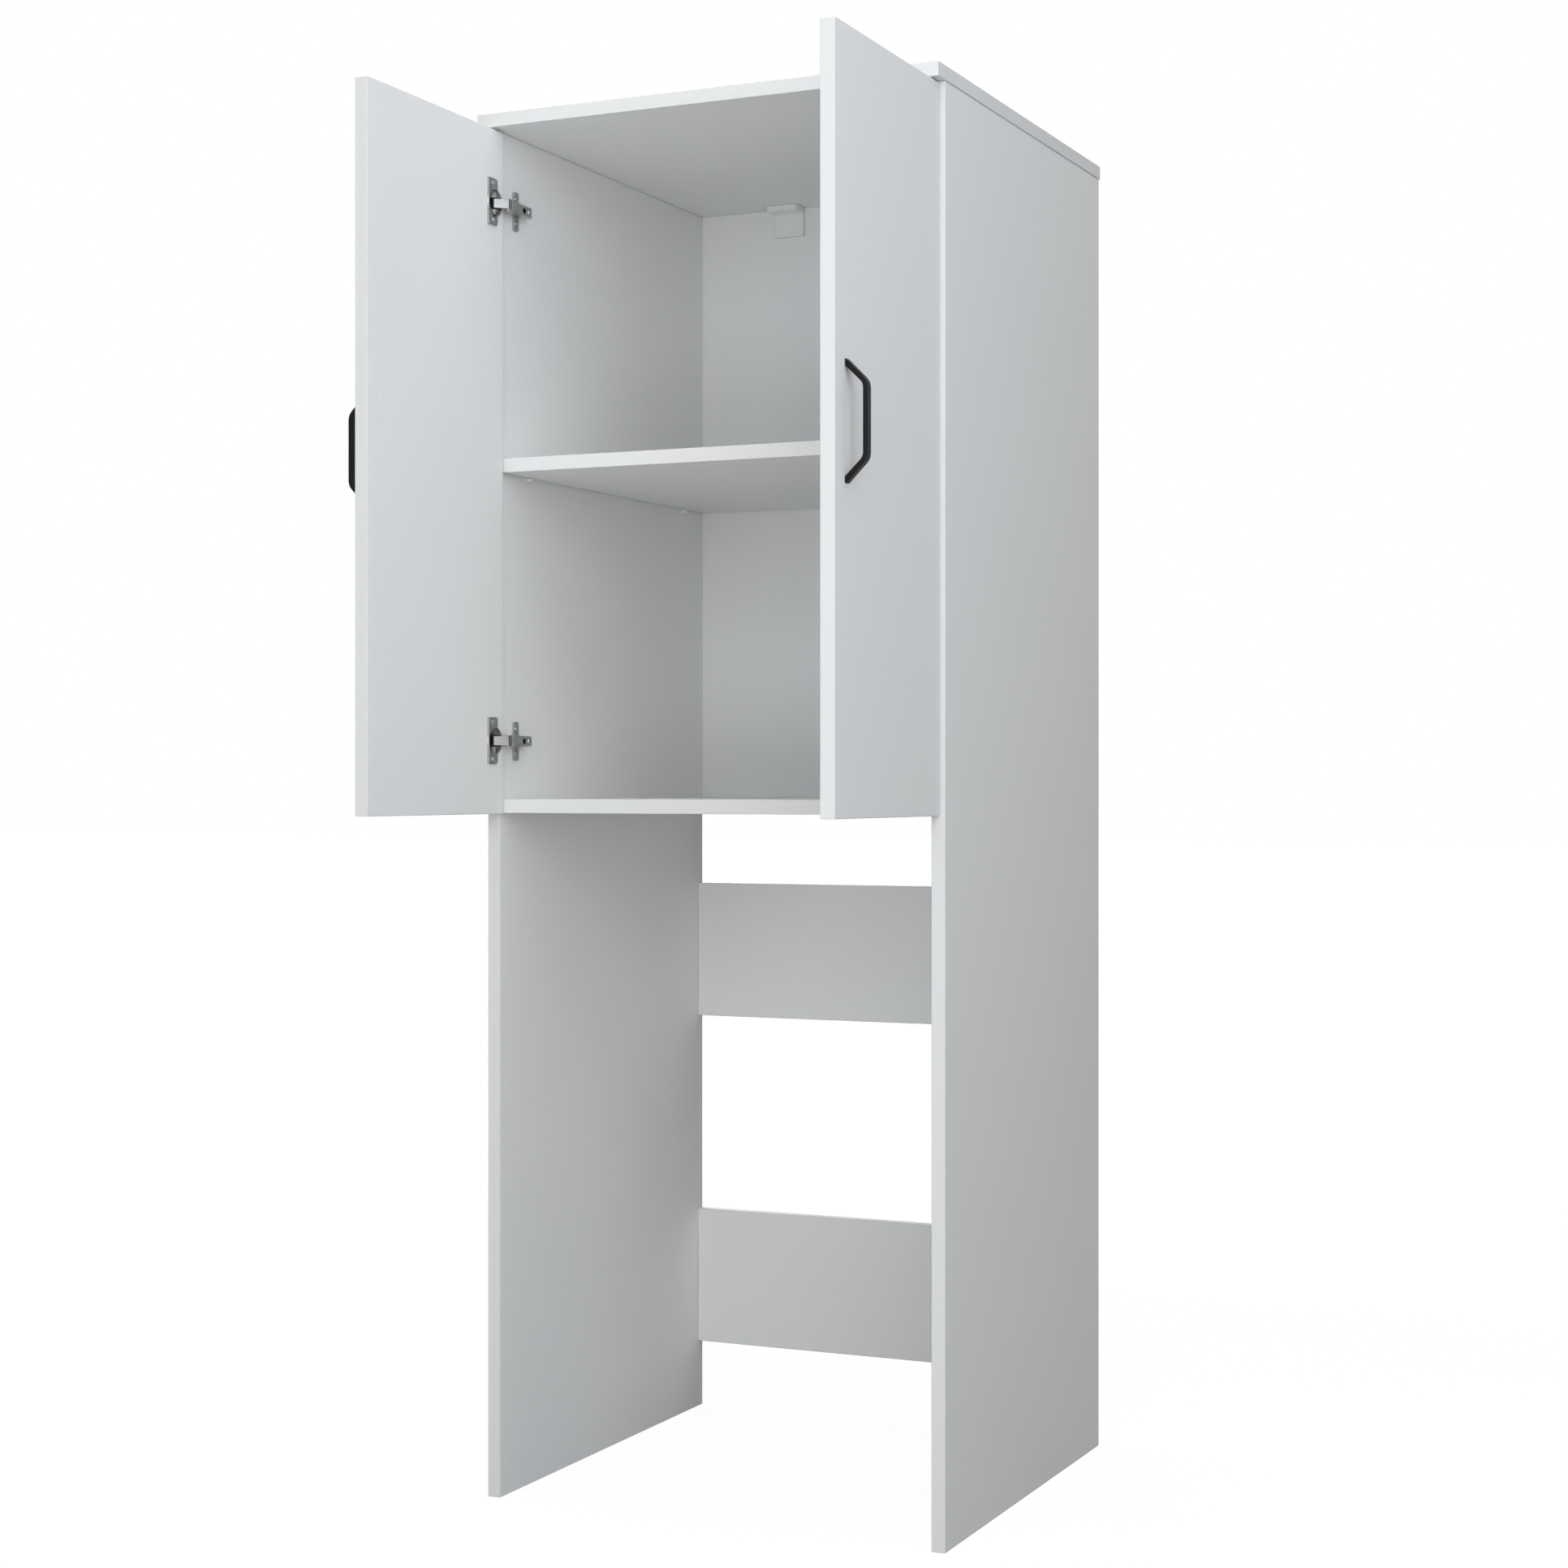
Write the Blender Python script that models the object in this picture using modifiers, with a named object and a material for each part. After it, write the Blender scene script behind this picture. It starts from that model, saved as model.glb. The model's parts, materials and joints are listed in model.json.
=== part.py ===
"""A tall cabinet that stands over a washing machine, modelled at rest with both doors open.

Everything is placed from the front plane of the cabinet: x runs to the right from the middle,
y runs back from the front edges of the side panels, and z runs up from the floor. An empty then
moves the whole cabinet so that its origin is at the middle of its outline on the floor.

The concealed hinges are the part that takes care. Each is a four bar linkage: an arm on the side
panel, a cup in the door, and two links of unlike length between their four pins. The places of
the cup's pins are worked out from the arm's pins, so that both links keep their length from the
closed door to the open one.
"""

import math

import bmesh
import bpy
from mathutils import Matrix, Vector

# The carcass, in metres
HEIGHT = 1.800
WIDTH = 0.640
SIDE_DEPTH = 0.595
BOARD = 0.018
TOP_FRONT = 0.025
TOP_SIDE = 0.001
FLOOR_UNDERSIDE = 0.893
SHELF_UNDERSIDE = 1.337
SHELF_BACK_GAP = 0.001
BACK_PANEL = 0.003
BACK_PANEL_INSET = 0.001
RAIL = 0.016
RAIL_HEIGHT = 0.198
LOWER_RAIL_UNDERSIDE = 0.098
UPPER_RAIL_UNDERSIDE = 0.585
ARRIS = 0.0006
SEAM = 0.0003

# The doors, standing open at a right angle
DOOR_WIDTH = 0.3175
DOOR_THICKNESS = 0.018
DOOR_BELOW_FLOOR = 0.001
DOOR_TOP_GAP = 0.0032
SIDE_REVEAL = 0.001
CLOSED_GAP = 0.0026
OPEN_FACE_INSET = 0.006
OPEN_EDGE_GAP = 0.0025
DOOR_PAST_SQUARE = math.radians(5)

# The handles
HANDLE_LENGTH = 0.1388
HANDLE_WIDTH = 0.0100
HANDLE_THICKNESS = 0.0059
HANDLE_PROJECTION = 0.0278
HANDLE_FROM_FREE_EDGE = 0.0275
HANDLE_SCREW_CENTRES = 0.128
HANDLE_BEND = 0.016
HANDLE_HEEL = 0.0014
HANDLE_EASE = 0.0005
HANDLE_THREAD_DEPTH = 0.0038
HANDLE_SCREW_SHANK = 0.002
HANDLE_SCREW_HEAD = 0.004
HANDLE_SCREW_HEAD_DEPTH = 0.002

# The corner brackets under the top board
BRACKET_WIDTH = 0.0465
BRACKET_MIDDLE = 0.1565
BRACKET_REACH = 0.0335
BRACKET_DROP = 0.042
BRACKET_TOP_LEG = 0.008
BRACKET_BACK_LEG = 0.0065
BRACKET_FILLET = 0.006
BRACKET_EASE = 0.0006

# Dowels, cam fittings and shelf pins
DOWEL_RADIUS = 0.004
DOWEL_CHAMFER = 0.001
DOWEL_IN_SIDE = 0.0205
DOWEL_IN_TOP = 0.0105
DOWEL_IN_RAIL = 0.0195
DOWEL_IN_PANEL = 0.0095
TOP_DOWEL_FROM_END = 0.060
CAM_RADIUS = 0.0073
CAM_DEPTH = 0.0120
CAM_FROM_END = 0.034
CAM_RECESS = 0.0022
CAM_SLOT = 0.0018
BOLT_RADIUS = 0.0030
BOLT_TIP_RADIUS = 0.0024
BOLT_IN_PANEL = 0.0100
FLOOR_CAM_FROM_EDGE = 0.060
RAIL_FIXING_SPREAD = 0.055
SHELF_PIN_RADIUS = 0.0025
SHELF_PIN_IN_PANEL = 0.0090
SHELF_PIN_COLLAR_RADIUS = 0.0040
SHELF_PIN_COLLAR = 0.0012
SHELF_PIN_REACH = 0.0085
SHELF_PIN_FROM_EDGE = 0.070

# The hinges: u runs from the side panel's inner face into the cabinet, v runs back
HINGE_FROM_DOOR_END = 0.095
CUP_CENTRE = 0.022
CUP_BORE_RADIUS = 0.0175
CUP_BORE_DEPTH = 0.0125
CUP_WALL = 0.0008
CUP_FLOOR = 0.0010
CUP_RIM_RADIUS = 0.0183
CUP_RIM = 0.0010
CUP_EAR = 0.0024
CUP_EAR_NEAR = 0.0176
CUP_EAR_FAR = 0.0396
CUP_EAR_HALF_HEIGHT = 0.03025
CUP_EAR_CORNER = 0.004
CUP_EAR_HOLE = 0.0024
CUP_EAR_HOLE_CENTRE = 0.028
CUP_EAR_HOLE_SPREAD = 0.024
CUP_BOSS_FROM = 0.0076
CUP_BOSS_TO = 0.0190
CUP_BOSS_DROP = 0.0005
INNER_ARM_PIN = (0.01230, 0.004822)
OUTER_ARM_PIN = (0.016655, -0.0080)
INNER_POLE_REACH = 0.010386
OUTER_POLE_REACH = 0.006999
INNER_KNEE_SHARE = 0.756
INNER_KNEE = 0.00403
OUTER_KNEE_SHARE = 0.858
OUTER_KNEE = 0.00344
PIN_RADIUS = 0.0009
PIN_PLAY = 0.0002
EYE_WALL = 0.0010
LINK_HALF = 0.0016
SLOT_WALL = 0.0005
INNER_LINK_HALF_WIDTH = 0.0053
OUTER_LINK_HALF_WIDTH = 0.0070
OUTER_LINK_SHEET = 0.0010
OUTER_WEB = 0.0009
ARM_HALF_WIDTH = 0.0084
ARM_REAR_HALF_WIDTH = 0.0074
ARM_SHEET = 0.0011
ARM_WEB_LEVEL = 0.0160
ARM_WEB_FRONT = 0.0020
ARM_REAR = 0.0564
ARM_SIDE_DROP = 0.0045
ARM_NOSE_RADIUS = 0.0021
ARM_ADJUST_HOLE = (0.0215, 0.0290)
ARM_ADJUST_HOLE_RADIUS = 0.0030
ARM_ROUND_HOLE = (0.0365, 0.0047)
ARM_FIXING_SLOT_START = 0.0480
ARM_FIXING_SLOT_RADIUS = 0.0024
PLATE_MIDDLE = 0.037
PLATE_WING_HALF_HEIGHT = 0.0255
PLATE_WING_WIDTH = 0.013
PLATE_WING = 0.0028
PLATE_WING_CORNER = 0.003
PLATE_SLOT_SPREAD = 0.016
PLATE_SLOT_HALF_LENGTH = 0.0020
PLATE_SLOT_RADIUS = 0.0022
PLATE_BODY_HALF_WIDTH = 0.0056
PLATE_BODY_FRONT = 0.0170
PLATE_BODY_REAR = 0.0530
PLATE_BODY_EASE = 0.0020

# How finely round shapes are drawn, and how far a cut runs past what it cuts
ROUND_STEPS = 24
SMALL_STEPS = 12
HULL_STEPS = 12
ARC_STEPS = 4
SWING_STEPS = 8
CUT_OVERRUN = 0.002
WELD = 0.000001
OUTLINE_UNIT = 0.001
SHARP_ANGLE = math.radians(35)

# Sizes that follow from those above
TOP_UNDERSIDE = HEIGHT - BOARD
SHELF_SIDE_GAP = SHELF_PIN_COLLAR + 2 * SEAM
PANEL_INNER = WIDTH / 2 - BOARD
BETWEEN_SIDES = PANEL_INNER - SEAM
SIDE_TOP = TOP_UNDERSIDE - SEAM
BACK_FACE = SIDE_DEPTH + SEAM + BACK_PANEL
DOOR_BOTTOM = FLOOR_UNDERSIDE - DOOR_BELOW_FLOOR
DOOR_TOP = TOP_UNDERSIDE - DOOR_TOP_GAP
DOOR_MIDDLE = (DOOR_BOTTOM + DOOR_TOP) / 2
DOOR_INNER = PANEL_INNER - OPEN_FACE_INSET
DOOR_OUTER = DOOR_INNER + DOOR_THICKNESS
FREE_EDGE = -(OPEN_EDGE_GAP + DOOR_WIDTH)
FRONT_PLACE = -(BACK_FACE + FREE_EDGE) / 2
HINGE_HEIGHTS = {"lower": DOOR_BOTTOM + HINGE_FROM_DOOR_END, "upper": DOOR_TOP - HINGE_FROM_DOOR_END}
HANDLE_Y = FREE_EDGE + HANDLE_FROM_FREE_EDGE + HANDLE_WIDTH / 2
SIDES = {"left": -1, "right": 1}


def clear_scene():
    """Removes every object that the file starts with."""
    for old in list(bpy.data.objects):
        bpy.data.objects.remove(old, do_unlink=True)


def new_collection(name):
    """A collection under the scene's own."""
    made = bpy.data.collections.new(name)
    bpy.context.scene.collection.children.link(made)
    return made


clear_scene()
CABINET = new_collection("washing_machine_cabinet")
CUTTERS = new_collection("cutters")
CUTTERS.hide_render = True


def finish(name, colour, roughness, metallic):
    """A plain material with the piece's colour."""
    material = bpy.data.materials.new(name)
    material.use_nodes = True
    shader = material.node_tree.nodes["Principled BSDF"]
    shader.inputs["Base Color"].default_value = (*colour, 1.0)
    shader.inputs["Roughness"].default_value = roughness
    shader.inputs["Metallic"].default_value = metallic
    material.diffuse_color = (*colour, 1.0)
    return material


WHITE_BOARD = finish("white_board", (0.62, 0.64, 0.66), 0.45, 0.0)
WHITE_BACK = finish("white_hardboard", (0.58, 0.60, 0.61), 0.60, 0.0)
NICKEL = finish("nickel_plate", (0.55, 0.55, 0.54), 0.28, 1.0)
BRIGHT_NICKEL = finish("bright_nickel", (0.75, 0.75, 0.74), 0.18, 1.0)
ZINC = finish("cast_zinc", (0.42, 0.42, 0.41), 0.45, 1.0)
BLACK = finish("black_lacquer", (0.020, 0.020, 0.022), 0.40, 0.0)
BEECH = finish("beech", (0.52, 0.36, 0.20), 0.60, 0.0)
WHITE_PLASTIC = finish("white_plastic", (0.66, 0.67, 0.68), 0.40, 0.0)


# Meshes

def add_object(name, mesh, collection):
    """An object for a mesh, in one collection."""
    made = bpy.data.objects.new(name, mesh)
    collection.objects.link(made)
    return made


def mesh_from(work):
    """The mesh of a bmesh, which is freed."""
    bmesh.ops.recalc_face_normals(work, faces=work.faces)
    mesh = bpy.data.meshes.new("shape")
    work.to_mesh(mesh)
    work.free()
    return mesh


def box_mesh(low, high):
    """A box between two corners."""
    size = [b - a for a, b in zip(low, high)]
    middle = [(a + b) / 2 for a, b in zip(low, high)]
    work = bmesh.new()
    place = Matrix.Translation(middle) @ Matrix.Diagonal((*size, 1.0))
    bmesh.ops.create_cube(work, size=1.0, matrix=place)
    return mesh_from(work)


def rod_mesh(start, end, radius, steps=SMALL_STEPS):
    """A round bar from one point to another."""
    start = Vector(start)
    along = Vector(end) - start
    turn = along.to_track_quat("Z", "Y").to_matrix().to_4x4()
    work = bmesh.new()
    bmesh.ops.create_cone(
        work, cap_ends=True, segments=steps, radius1=radius, radius2=radius,
        depth=along.length, matrix=Matrix.Translation(start + along / 2) @ turn,
    )
    return mesh_from(work)


def turned_mesh(profile, start, direction, steps=SMALL_STEPS):
    """A turned solid: the profile's (radius, place along the axis) points run from top to foot."""
    outline = bpy.data.meshes.new("profile")
    points = [(radius, 0.0, along) for radius, along in profile]
    outline.from_pydata(points, [(i, i + 1) for i in range(len(points) - 1)], [])
    spun = add_object("spun", outline, CUTTERS)
    screw = spun.modifiers.new("turn", "SCREW")
    screw.steps = steps
    screw.render_steps = steps
    screw.use_merge_vertices = True
    screw.merge_threshold = WELD
    mesh = evaluated_mesh(spun)
    drop(spun)
    turn = Vector(direction).to_track_quat("Z", "Y").to_matrix().to_4x4()
    mesh.transform(Matrix.Translation(start) @ turn)
    return welded(mesh)


def evaluated_mesh(source):
    """A new mesh of an object as its modifiers leave it."""
    bpy.context.view_layer.update()
    graph = bpy.context.evaluated_depsgraph_get()
    return bpy.data.meshes.new_from_object(source.evaluated_get(graph))


def drop(used):
    """Removes a helper object and its data."""
    data = used.data
    bpy.data.objects.remove(used, do_unlink=True)
    if isinstance(data, bpy.types.Mesh):
        bpy.data.meshes.remove(data)
    else:
        bpy.data.curves.remove(data)


def welded(mesh):
    """The same mesh with its loose caps joined and its faces pointing out."""
    work = bmesh.new()
    work.from_mesh(mesh)
    bmesh.ops.remove_doubles(work, verts=work.verts, dist=WELD)
    bpy.data.meshes.remove(mesh)
    return mesh_from(work)


PLANES = {
    "uv": Matrix.Identity(4),
    "vw": Matrix(((0, 0, 1, 0), (1, 0, 0, 0), (0, 1, 0, 0), (0, 0, 0, 1))),
    "uw": Matrix(((1, 0, 0, 0), (0, 0, -1, 0), (0, 1, 0, 0), (0, 0, 0, 1))),
}


def plate_mesh(outlines, start, end, plane):
    """A flat plate: the first outline less the others, as thick as from start to end."""
    curve = bpy.data.curves.new("outline", "CURVE")
    curve.dimensions = "2D"
    curve.fill_mode = "BOTH"
    curve.extrude = (end - start) / 2 / OUTLINE_UNIT
    for outline in outlines:
        spline = curve.splines.new("POLY")
        spline.points.add(len(outline) - 1)
        for point, (a, b) in zip(spline.points, outline):
            point.co = (a / OUTLINE_UNIT, b / OUTLINE_UNIT, 0.0, 1.0)
        spline.use_cyclic_u = True
    drawn = add_object("drawn", curve, CUTTERS)
    mesh = evaluated_mesh(drawn)
    drop(drawn)
    lift = Matrix.Translation((0.0, 0.0, (start + end) / 2))
    mesh.transform(PLANES[plane] @ lift @ Matrix.Scale(OUTLINE_UNIT, 4))
    return welded(mesh)


def combine(base, tools, operation):
    """The base mesh after a Boolean with each tool in turn. All the meshes are used up."""
    body = add_object("body", base, CUTTERS)
    helpers = []
    for mesh in tools:
        helper = add_object("tool", mesh, CUTTERS)
        helpers.append(helper)
        boolean = body.modifiers.new("boolean", "BOOLEAN")
        boolean.operation = operation
        boolean.solver = "EXACT"
        boolean.object = helper
    result = evaluated_mesh(body)
    for used in [body, *helpers]:
        drop(used)
    return welded(result)


def joined(base, *tools):
    """One solid of several that overlap."""
    return combine(base, tools, "UNION")


def cut(base, *tools):
    """A solid less its cutters."""
    return combine(base, tools, "DIFFERENCE")


# Outlines

def arc(centre, radius, start, end, steps=ARC_STEPS):
    """Points on an arc, between two angles in degrees."""
    angles = [math.radians(start + (end - start) * i / steps) for i in range(steps + 1)]
    return [(centre[0] + radius * math.cos(a), centre[1] + radius * math.sin(a)) for a in angles]


def circle(centre, radius, steps=SMALL_STEPS):
    """Points round a circle."""
    return arc(centre, radius, 0.0, 360.0, steps)[:-1]


def rounded_box(low, high, radius):
    """A rectangle with four round corners."""
    corners = (
        ((high[0] - radius, high[1] - radius), 0.0),
        ((low[0] + radius, high[1] - radius), 90.0),
        ((low[0] + radius, low[1] + radius), 180.0),
        ((high[0] - radius, low[1] + radius), 270.0),
    )
    return [point for centre, angle in corners for point in arc(centre, radius, angle, angle + 90.0)]


def hull(*circles):
    """The belt drawn tight round some circles, each given as (centre, radius)."""
    points = sorted(point for centre, radius in circles for point in circle(centre, radius, HULL_STEPS))

    def chain(run):
        kept = []
        for point in run:
            while len(kept) > 1 and turn_of(kept[-2], kept[-1], point) <= 0.0:
                kept.pop()
            kept.append(point)
        return kept[:-1]

    return chain(points) + chain(reversed(points))


def turn_of(a, b, c):
    """Positive where the way from a over b to c turns left."""
    return (b[0] - a[0]) * (c[1] - a[1]) - (b[1] - a[1]) * (c[0] - a[0])


# The carcass

def node(name, mesh, material, origin, parent=None):
    """One piece of the cabinet. Its origin is a point in front-plane places."""
    made = add_object(name, mesh, CABINET)
    made.data.materials.clear()
    made.data.materials.append(material)
    made.data.shade_smooth()
    made.data.set_sharp_from_angle(angle=SHARP_ANGLE)
    made.data.transform(Matrix.Translation([-value for value in origin]))
    made.parent = parent or FRONT
    made.location = Vector(origin) - (parent.location if parent else Vector())
    return made


def board(name, low, high, material, holes=(), parent=None):
    """A board with eased edges, bored by the holes' cutters."""
    middle = [(a + b) / 2 for a, b in zip(low, high)]
    made = node(name, box_mesh(low, high), material, middle, parent)
    ease = made.modifiers.new("eased_edges", "BEVEL")
    ease.width = ARRIS
    ease.segments = 1
    ease.limit_method = "ANGLE"
    if holes:
        cutter = add_object(name + "_bores", holes[0], CUTTERS)
        cutter.hide_render = True
        cutter.display_type = "WIRE"
        cutter.parent = FRONT
        if len(holes) > 1:
            join_shells(cutter, holes[1:])
        bore = made.modifiers.new("bores", "BOOLEAN")
        bore.operation = "DIFFERENCE"
        bore.solver = "EXACT"
        bore.object = cutter
    return made


def join_shells(holder, meshes):
    """Adds more closed shells, clear of each other, to one cutter."""
    work = bmesh.new()
    work.from_mesh(holder.data)
    for mesh in meshes:
        work.from_mesh(mesh)
        bpy.data.meshes.remove(mesh)
    work.to_mesh(holder.data)
    work.free()


def bore(mouth, direction, radius, depth, steps=SMALL_STEPS):
    """A cutter for a blind hole that starts at a point on a face."""
    mouth, direction = Vector(mouth), Vector(direction)
    return rod_mesh(mouth - direction * CUT_OVERRUN, mouth + direction * depth, radius, steps)


RAILS = {"lower": LOWER_RAIL_UNDERSIDE, "upper": UPPER_RAIL_UNDERSIDE}
RAIL_Y = SIDE_DEPTH - RAIL / 2
TOP_DOWEL_PLACES = {"front": TOP_DOWEL_FROM_END, "rear": SIDE_DEPTH - TOP_DOWEL_FROM_END}
FLOOR_CAM_PLACES = {"front": FLOOR_CAM_FROM_EDGE, "rear": SIDE_DEPTH - FLOOR_CAM_FROM_EDGE}
SHELF_PIN_PLACES = {"front": SHELF_PIN_FROM_EDGE, "rear": SIDE_DEPTH - SHELF_PIN_FROM_EDGE}
SHELF_PIN_Z = SHELF_UNDERSIDE - SEAM - SHELF_PIN_RADIUS
FLOOR_MIDDLE = FLOOR_UNDERSIDE + BOARD / 2


def rail_fixings(underside):
    """The heights of a rail's cam and of its dowel."""
    middle = underside + RAIL_HEIGHT / 2
    return middle - RAIL_FIXING_SPREAD, middle + RAIL_FIXING_SPREAD


def side_panel(side):
    """A side panel, bored for everything that enters it."""
    sign = SIDES[side]
    face, out = sign * PANEL_INNER, (sign, 0, 0)
    holes = []
    for y in SHELF_PIN_PLACES.values():
        holes.append(bore((face, y, SHELF_PIN_Z), out, SHELF_PIN_RADIUS + SEAM, SHELF_PIN_IN_PANEL + SEAM))
    for y in FLOOR_CAM_PLACES.values():
        holes.append(bore((face, y, FLOOR_MIDDLE), out, BOLT_TIP_RADIUS + SEAM, BOLT_IN_PANEL + SEAM))
    for underside in RAILS.values():
        cam_z, dowel_z = rail_fixings(underside)
        holes.append(bore((face, RAIL_Y, cam_z), out, BOLT_TIP_RADIUS + SEAM, BOLT_IN_PANEL + SEAM))
        holes.append(bore((face, RAIL_Y, dowel_z), out, DOWEL_RADIUS + SEAM, DOWEL_IN_PANEL + SEAM))
    for y in TOP_DOWEL_PLACES.values():
        middle = sign * (WIDTH - BOARD) / 2
        holes.append(bore((middle, y, SIDE_TOP), (0, 0, -1), DOWEL_RADIUS + SEAM, DOWEL_IN_SIDE + SEAM))
    ends = sorted((face, sign * WIDTH / 2))
    board(side + "_side_panel", (ends[0], 0, 0), (ends[1], SIDE_DEPTH, SIDE_TOP), WHITE_BOARD, holes)


def top_board():
    """The top board, which lies on both side panels."""
    holes = []
    for sign in SIDES.values():
        for y in TOP_DOWEL_PLACES.values():
            mouth = (sign * (WIDTH - BOARD) / 2, y, TOP_UNDERSIDE)
            holes.append(bore(mouth, (0, 0, 1), DOWEL_RADIUS + SEAM, DOWEL_IN_TOP + SEAM))
    reach = WIDTH / 2 + TOP_SIDE
    board("top_board", (-reach, -TOP_FRONT, TOP_UNDERSIDE), (reach, BACK_FACE, HEIGHT), WHITE_BOARD, holes)


def cabinet_floor():
    """The board under the cupboard, held by cam fittings in its underside."""
    holes = []
    for sign in SIDES.values():
        for y in FLOOR_CAM_PLACES.values():
            cam = (sign * (PANEL_INNER - CAM_FROM_END), y, FLOOR_UNDERSIDE)
            holes.append(cam_bores(cam, (0, 0, 1), sign, FLOOR_MIDDLE - FLOOR_UNDERSIDE))
    low = (-BETWEEN_SIDES, 0, FLOOR_UNDERSIDE)
    board("cabinet_floor", low, (BETWEEN_SIDES, SIDE_DEPTH, FLOOR_UNDERSIDE + BOARD), WHITE_BOARD, holes)


def cam_bores(mouth, inward, sign, bolt_depth):
    """The bore for a cam and the cross bore for its bolt, as one cutter."""
    mouth, inward = Vector(mouth), Vector(inward)
    cam = bore(mouth, inward, CAM_RADIUS + SEAM, CAM_DEPTH + SEAM)
    start = mouth + inward * bolt_depth
    end = start + Vector((sign * (CAM_FROM_END + CUT_OVERRUN), 0, 0))
    return joined(cam, rod_mesh(start, end, BOLT_RADIUS + SEAM))


def rail(which, underside):
    """A cross rail behind the machine, with a cam and a dowel at each end."""
    cam_z, dowel_z = rail_fixings(underside)
    holes = []
    for sign in SIDES.values():
        mouth = (sign * (PANEL_INNER - CAM_FROM_END), SIDE_DEPTH, cam_z)
        holes.append(cam_bores(mouth, (0, -1, 0), sign, RAIL / 2))
        end = (sign * BETWEEN_SIDES, RAIL_Y, dowel_z)
        holes.append(bore(end, (-sign, 0, 0), DOWEL_RADIUS + SEAM, DOWEL_IN_RAIL + SEAM))
    low = (-BETWEEN_SIDES, SIDE_DEPTH - RAIL, underside)
    board(which + "_back_rail", low, (BETWEEN_SIDES, SIDE_DEPTH, underside + RAIL_HEIGHT), WHITE_BOARD, holes)


def shelf():
    """The middle shelf, which lies loose on four pins."""
    reach = PANEL_INNER - SHELF_SIDE_GAP
    low = (-reach, 0, SHELF_UNDERSIDE)
    board("shelf", low, (reach, SIDE_DEPTH - SHELF_BACK_GAP, SHELF_UNDERSIDE + BOARD), WHITE_BOARD)


def back_panel():
    """The thin panel on the back edges, behind the cupboard only."""
    reach = WIDTH / 2 - BACK_PANEL_INSET
    low = (-reach, SIDE_DEPTH + SEAM, FLOOR_UNDERSIDE + BACK_PANEL_INSET)
    board("back_panel", low, (reach, BACK_FACE, SIDE_TOP), WHITE_BACK)


def dowel(name, start, end):
    """A beech dowel with chamfered ends."""
    start, along = Vector(start), Vector(end) - Vector(start)
    narrow = DOWEL_RADIUS - DOWEL_CHAMFER
    profile = [
        (0.0, along.length),
        (narrow, along.length),
        (DOWEL_RADIUS, along.length - DOWEL_CHAMFER),
        (DOWEL_RADIUS, DOWEL_CHAMFER),
        (narrow, 0.0),
        (0.0, 0.0),
    ]
    node(name, turned_mesh(profile, start, along), BEECH, start)


def dowels():
    """Dowels between the top board and the sides, and between the rails and the sides."""
    for side, sign in SIDES.items():
        for place, y in TOP_DOWEL_PLACES.items():
            x = sign * (WIDTH - BOARD) / 2
            dowel(f"{side}_top_dowel_{place}", (x, y, SIDE_TOP - DOWEL_IN_SIDE), (x, y, TOP_UNDERSIDE + DOWEL_IN_TOP))
        for which, underside in RAILS.items():
            z = rail_fixings(underside)[1]
            start = (sign * (BETWEEN_SIDES - DOWEL_IN_RAIL), RAIL_Y, z)
            dowel(f"{side}_{which}_rail_dowel", start, (sign * (PANEL_INNER + DOWEL_IN_PANEL), RAIL_Y, z))


def cam_fitting(name, mouth, inward, sign, bolt_depth):
    """A cam in its bore, one with the bolt that it holds."""
    mouth, inward = Vector(mouth), Vector(inward)
    axis = mouth + inward * bolt_depth
    panel = axis + Vector((sign * CAM_FROM_END, 0, 0))
    recess = mouth + inward * CAM_RECESS
    cam = rod_mesh(mouth, mouth + inward * CAM_DEPTH, CAM_RADIUS)
    across = inward.cross(Vector((1, 0, 0))) * CAM_RADIUS
    slot = box_mesh(*box_round(mouth - inward * CUT_OVERRUN, recess, across * (1 - CAM_SLOT / CAM_RADIUS), CAM_SLOT))
    cam = cut(cam, slot)
    shank = rod_mesh(axis, panel - Vector((sign * SEAM, 0, 0)), BOLT_RADIUS)
    tip_start = panel - Vector((sign * BOLT_RADIUS, 0, 0))
    tip = rod_mesh(tip_start, panel + Vector((sign * BOLT_IN_PANEL, 0, 0)), BOLT_TIP_RADIUS)
    node(name, joined(cam, shank, tip), ZINC, mouth)


def box_round(start, end, across, half):
    """The corners of a box that holds a segment, spread by a vector and by half a width."""
    points = [start + across, start - across, end + across, end - across]
    spread = half / 2
    axis = (end - start).normalized()
    grow = Vector([spread * (1 - abs(value)) for value in axis])
    low = Vector([min(point[i] for point in points) - grow[i] for i in range(3)])
    high = Vector([max(point[i] for point in points) + grow[i] for i in range(3)])
    return low, high


def cam_fittings():
    """The cam fittings of the cabinet floor and of both rails."""
    for side, sign in SIDES.items():
        for place, y in FLOOR_CAM_PLACES.items():
            mouth = (sign * (PANEL_INNER - CAM_FROM_END), y, FLOOR_UNDERSIDE)
            cam_fitting(f"{side}_floor_cam_{place}", mouth, (0, 0, 1), sign, FLOOR_MIDDLE - FLOOR_UNDERSIDE)
        for which, underside in RAILS.items():
            mouth = (sign * (PANEL_INNER - CAM_FROM_END), SIDE_DEPTH, rail_fixings(underside)[0])
            cam_fitting(f"{side}_{which}_rail_cam", mouth, (0, -1, 0), sign, RAIL / 2)


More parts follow.
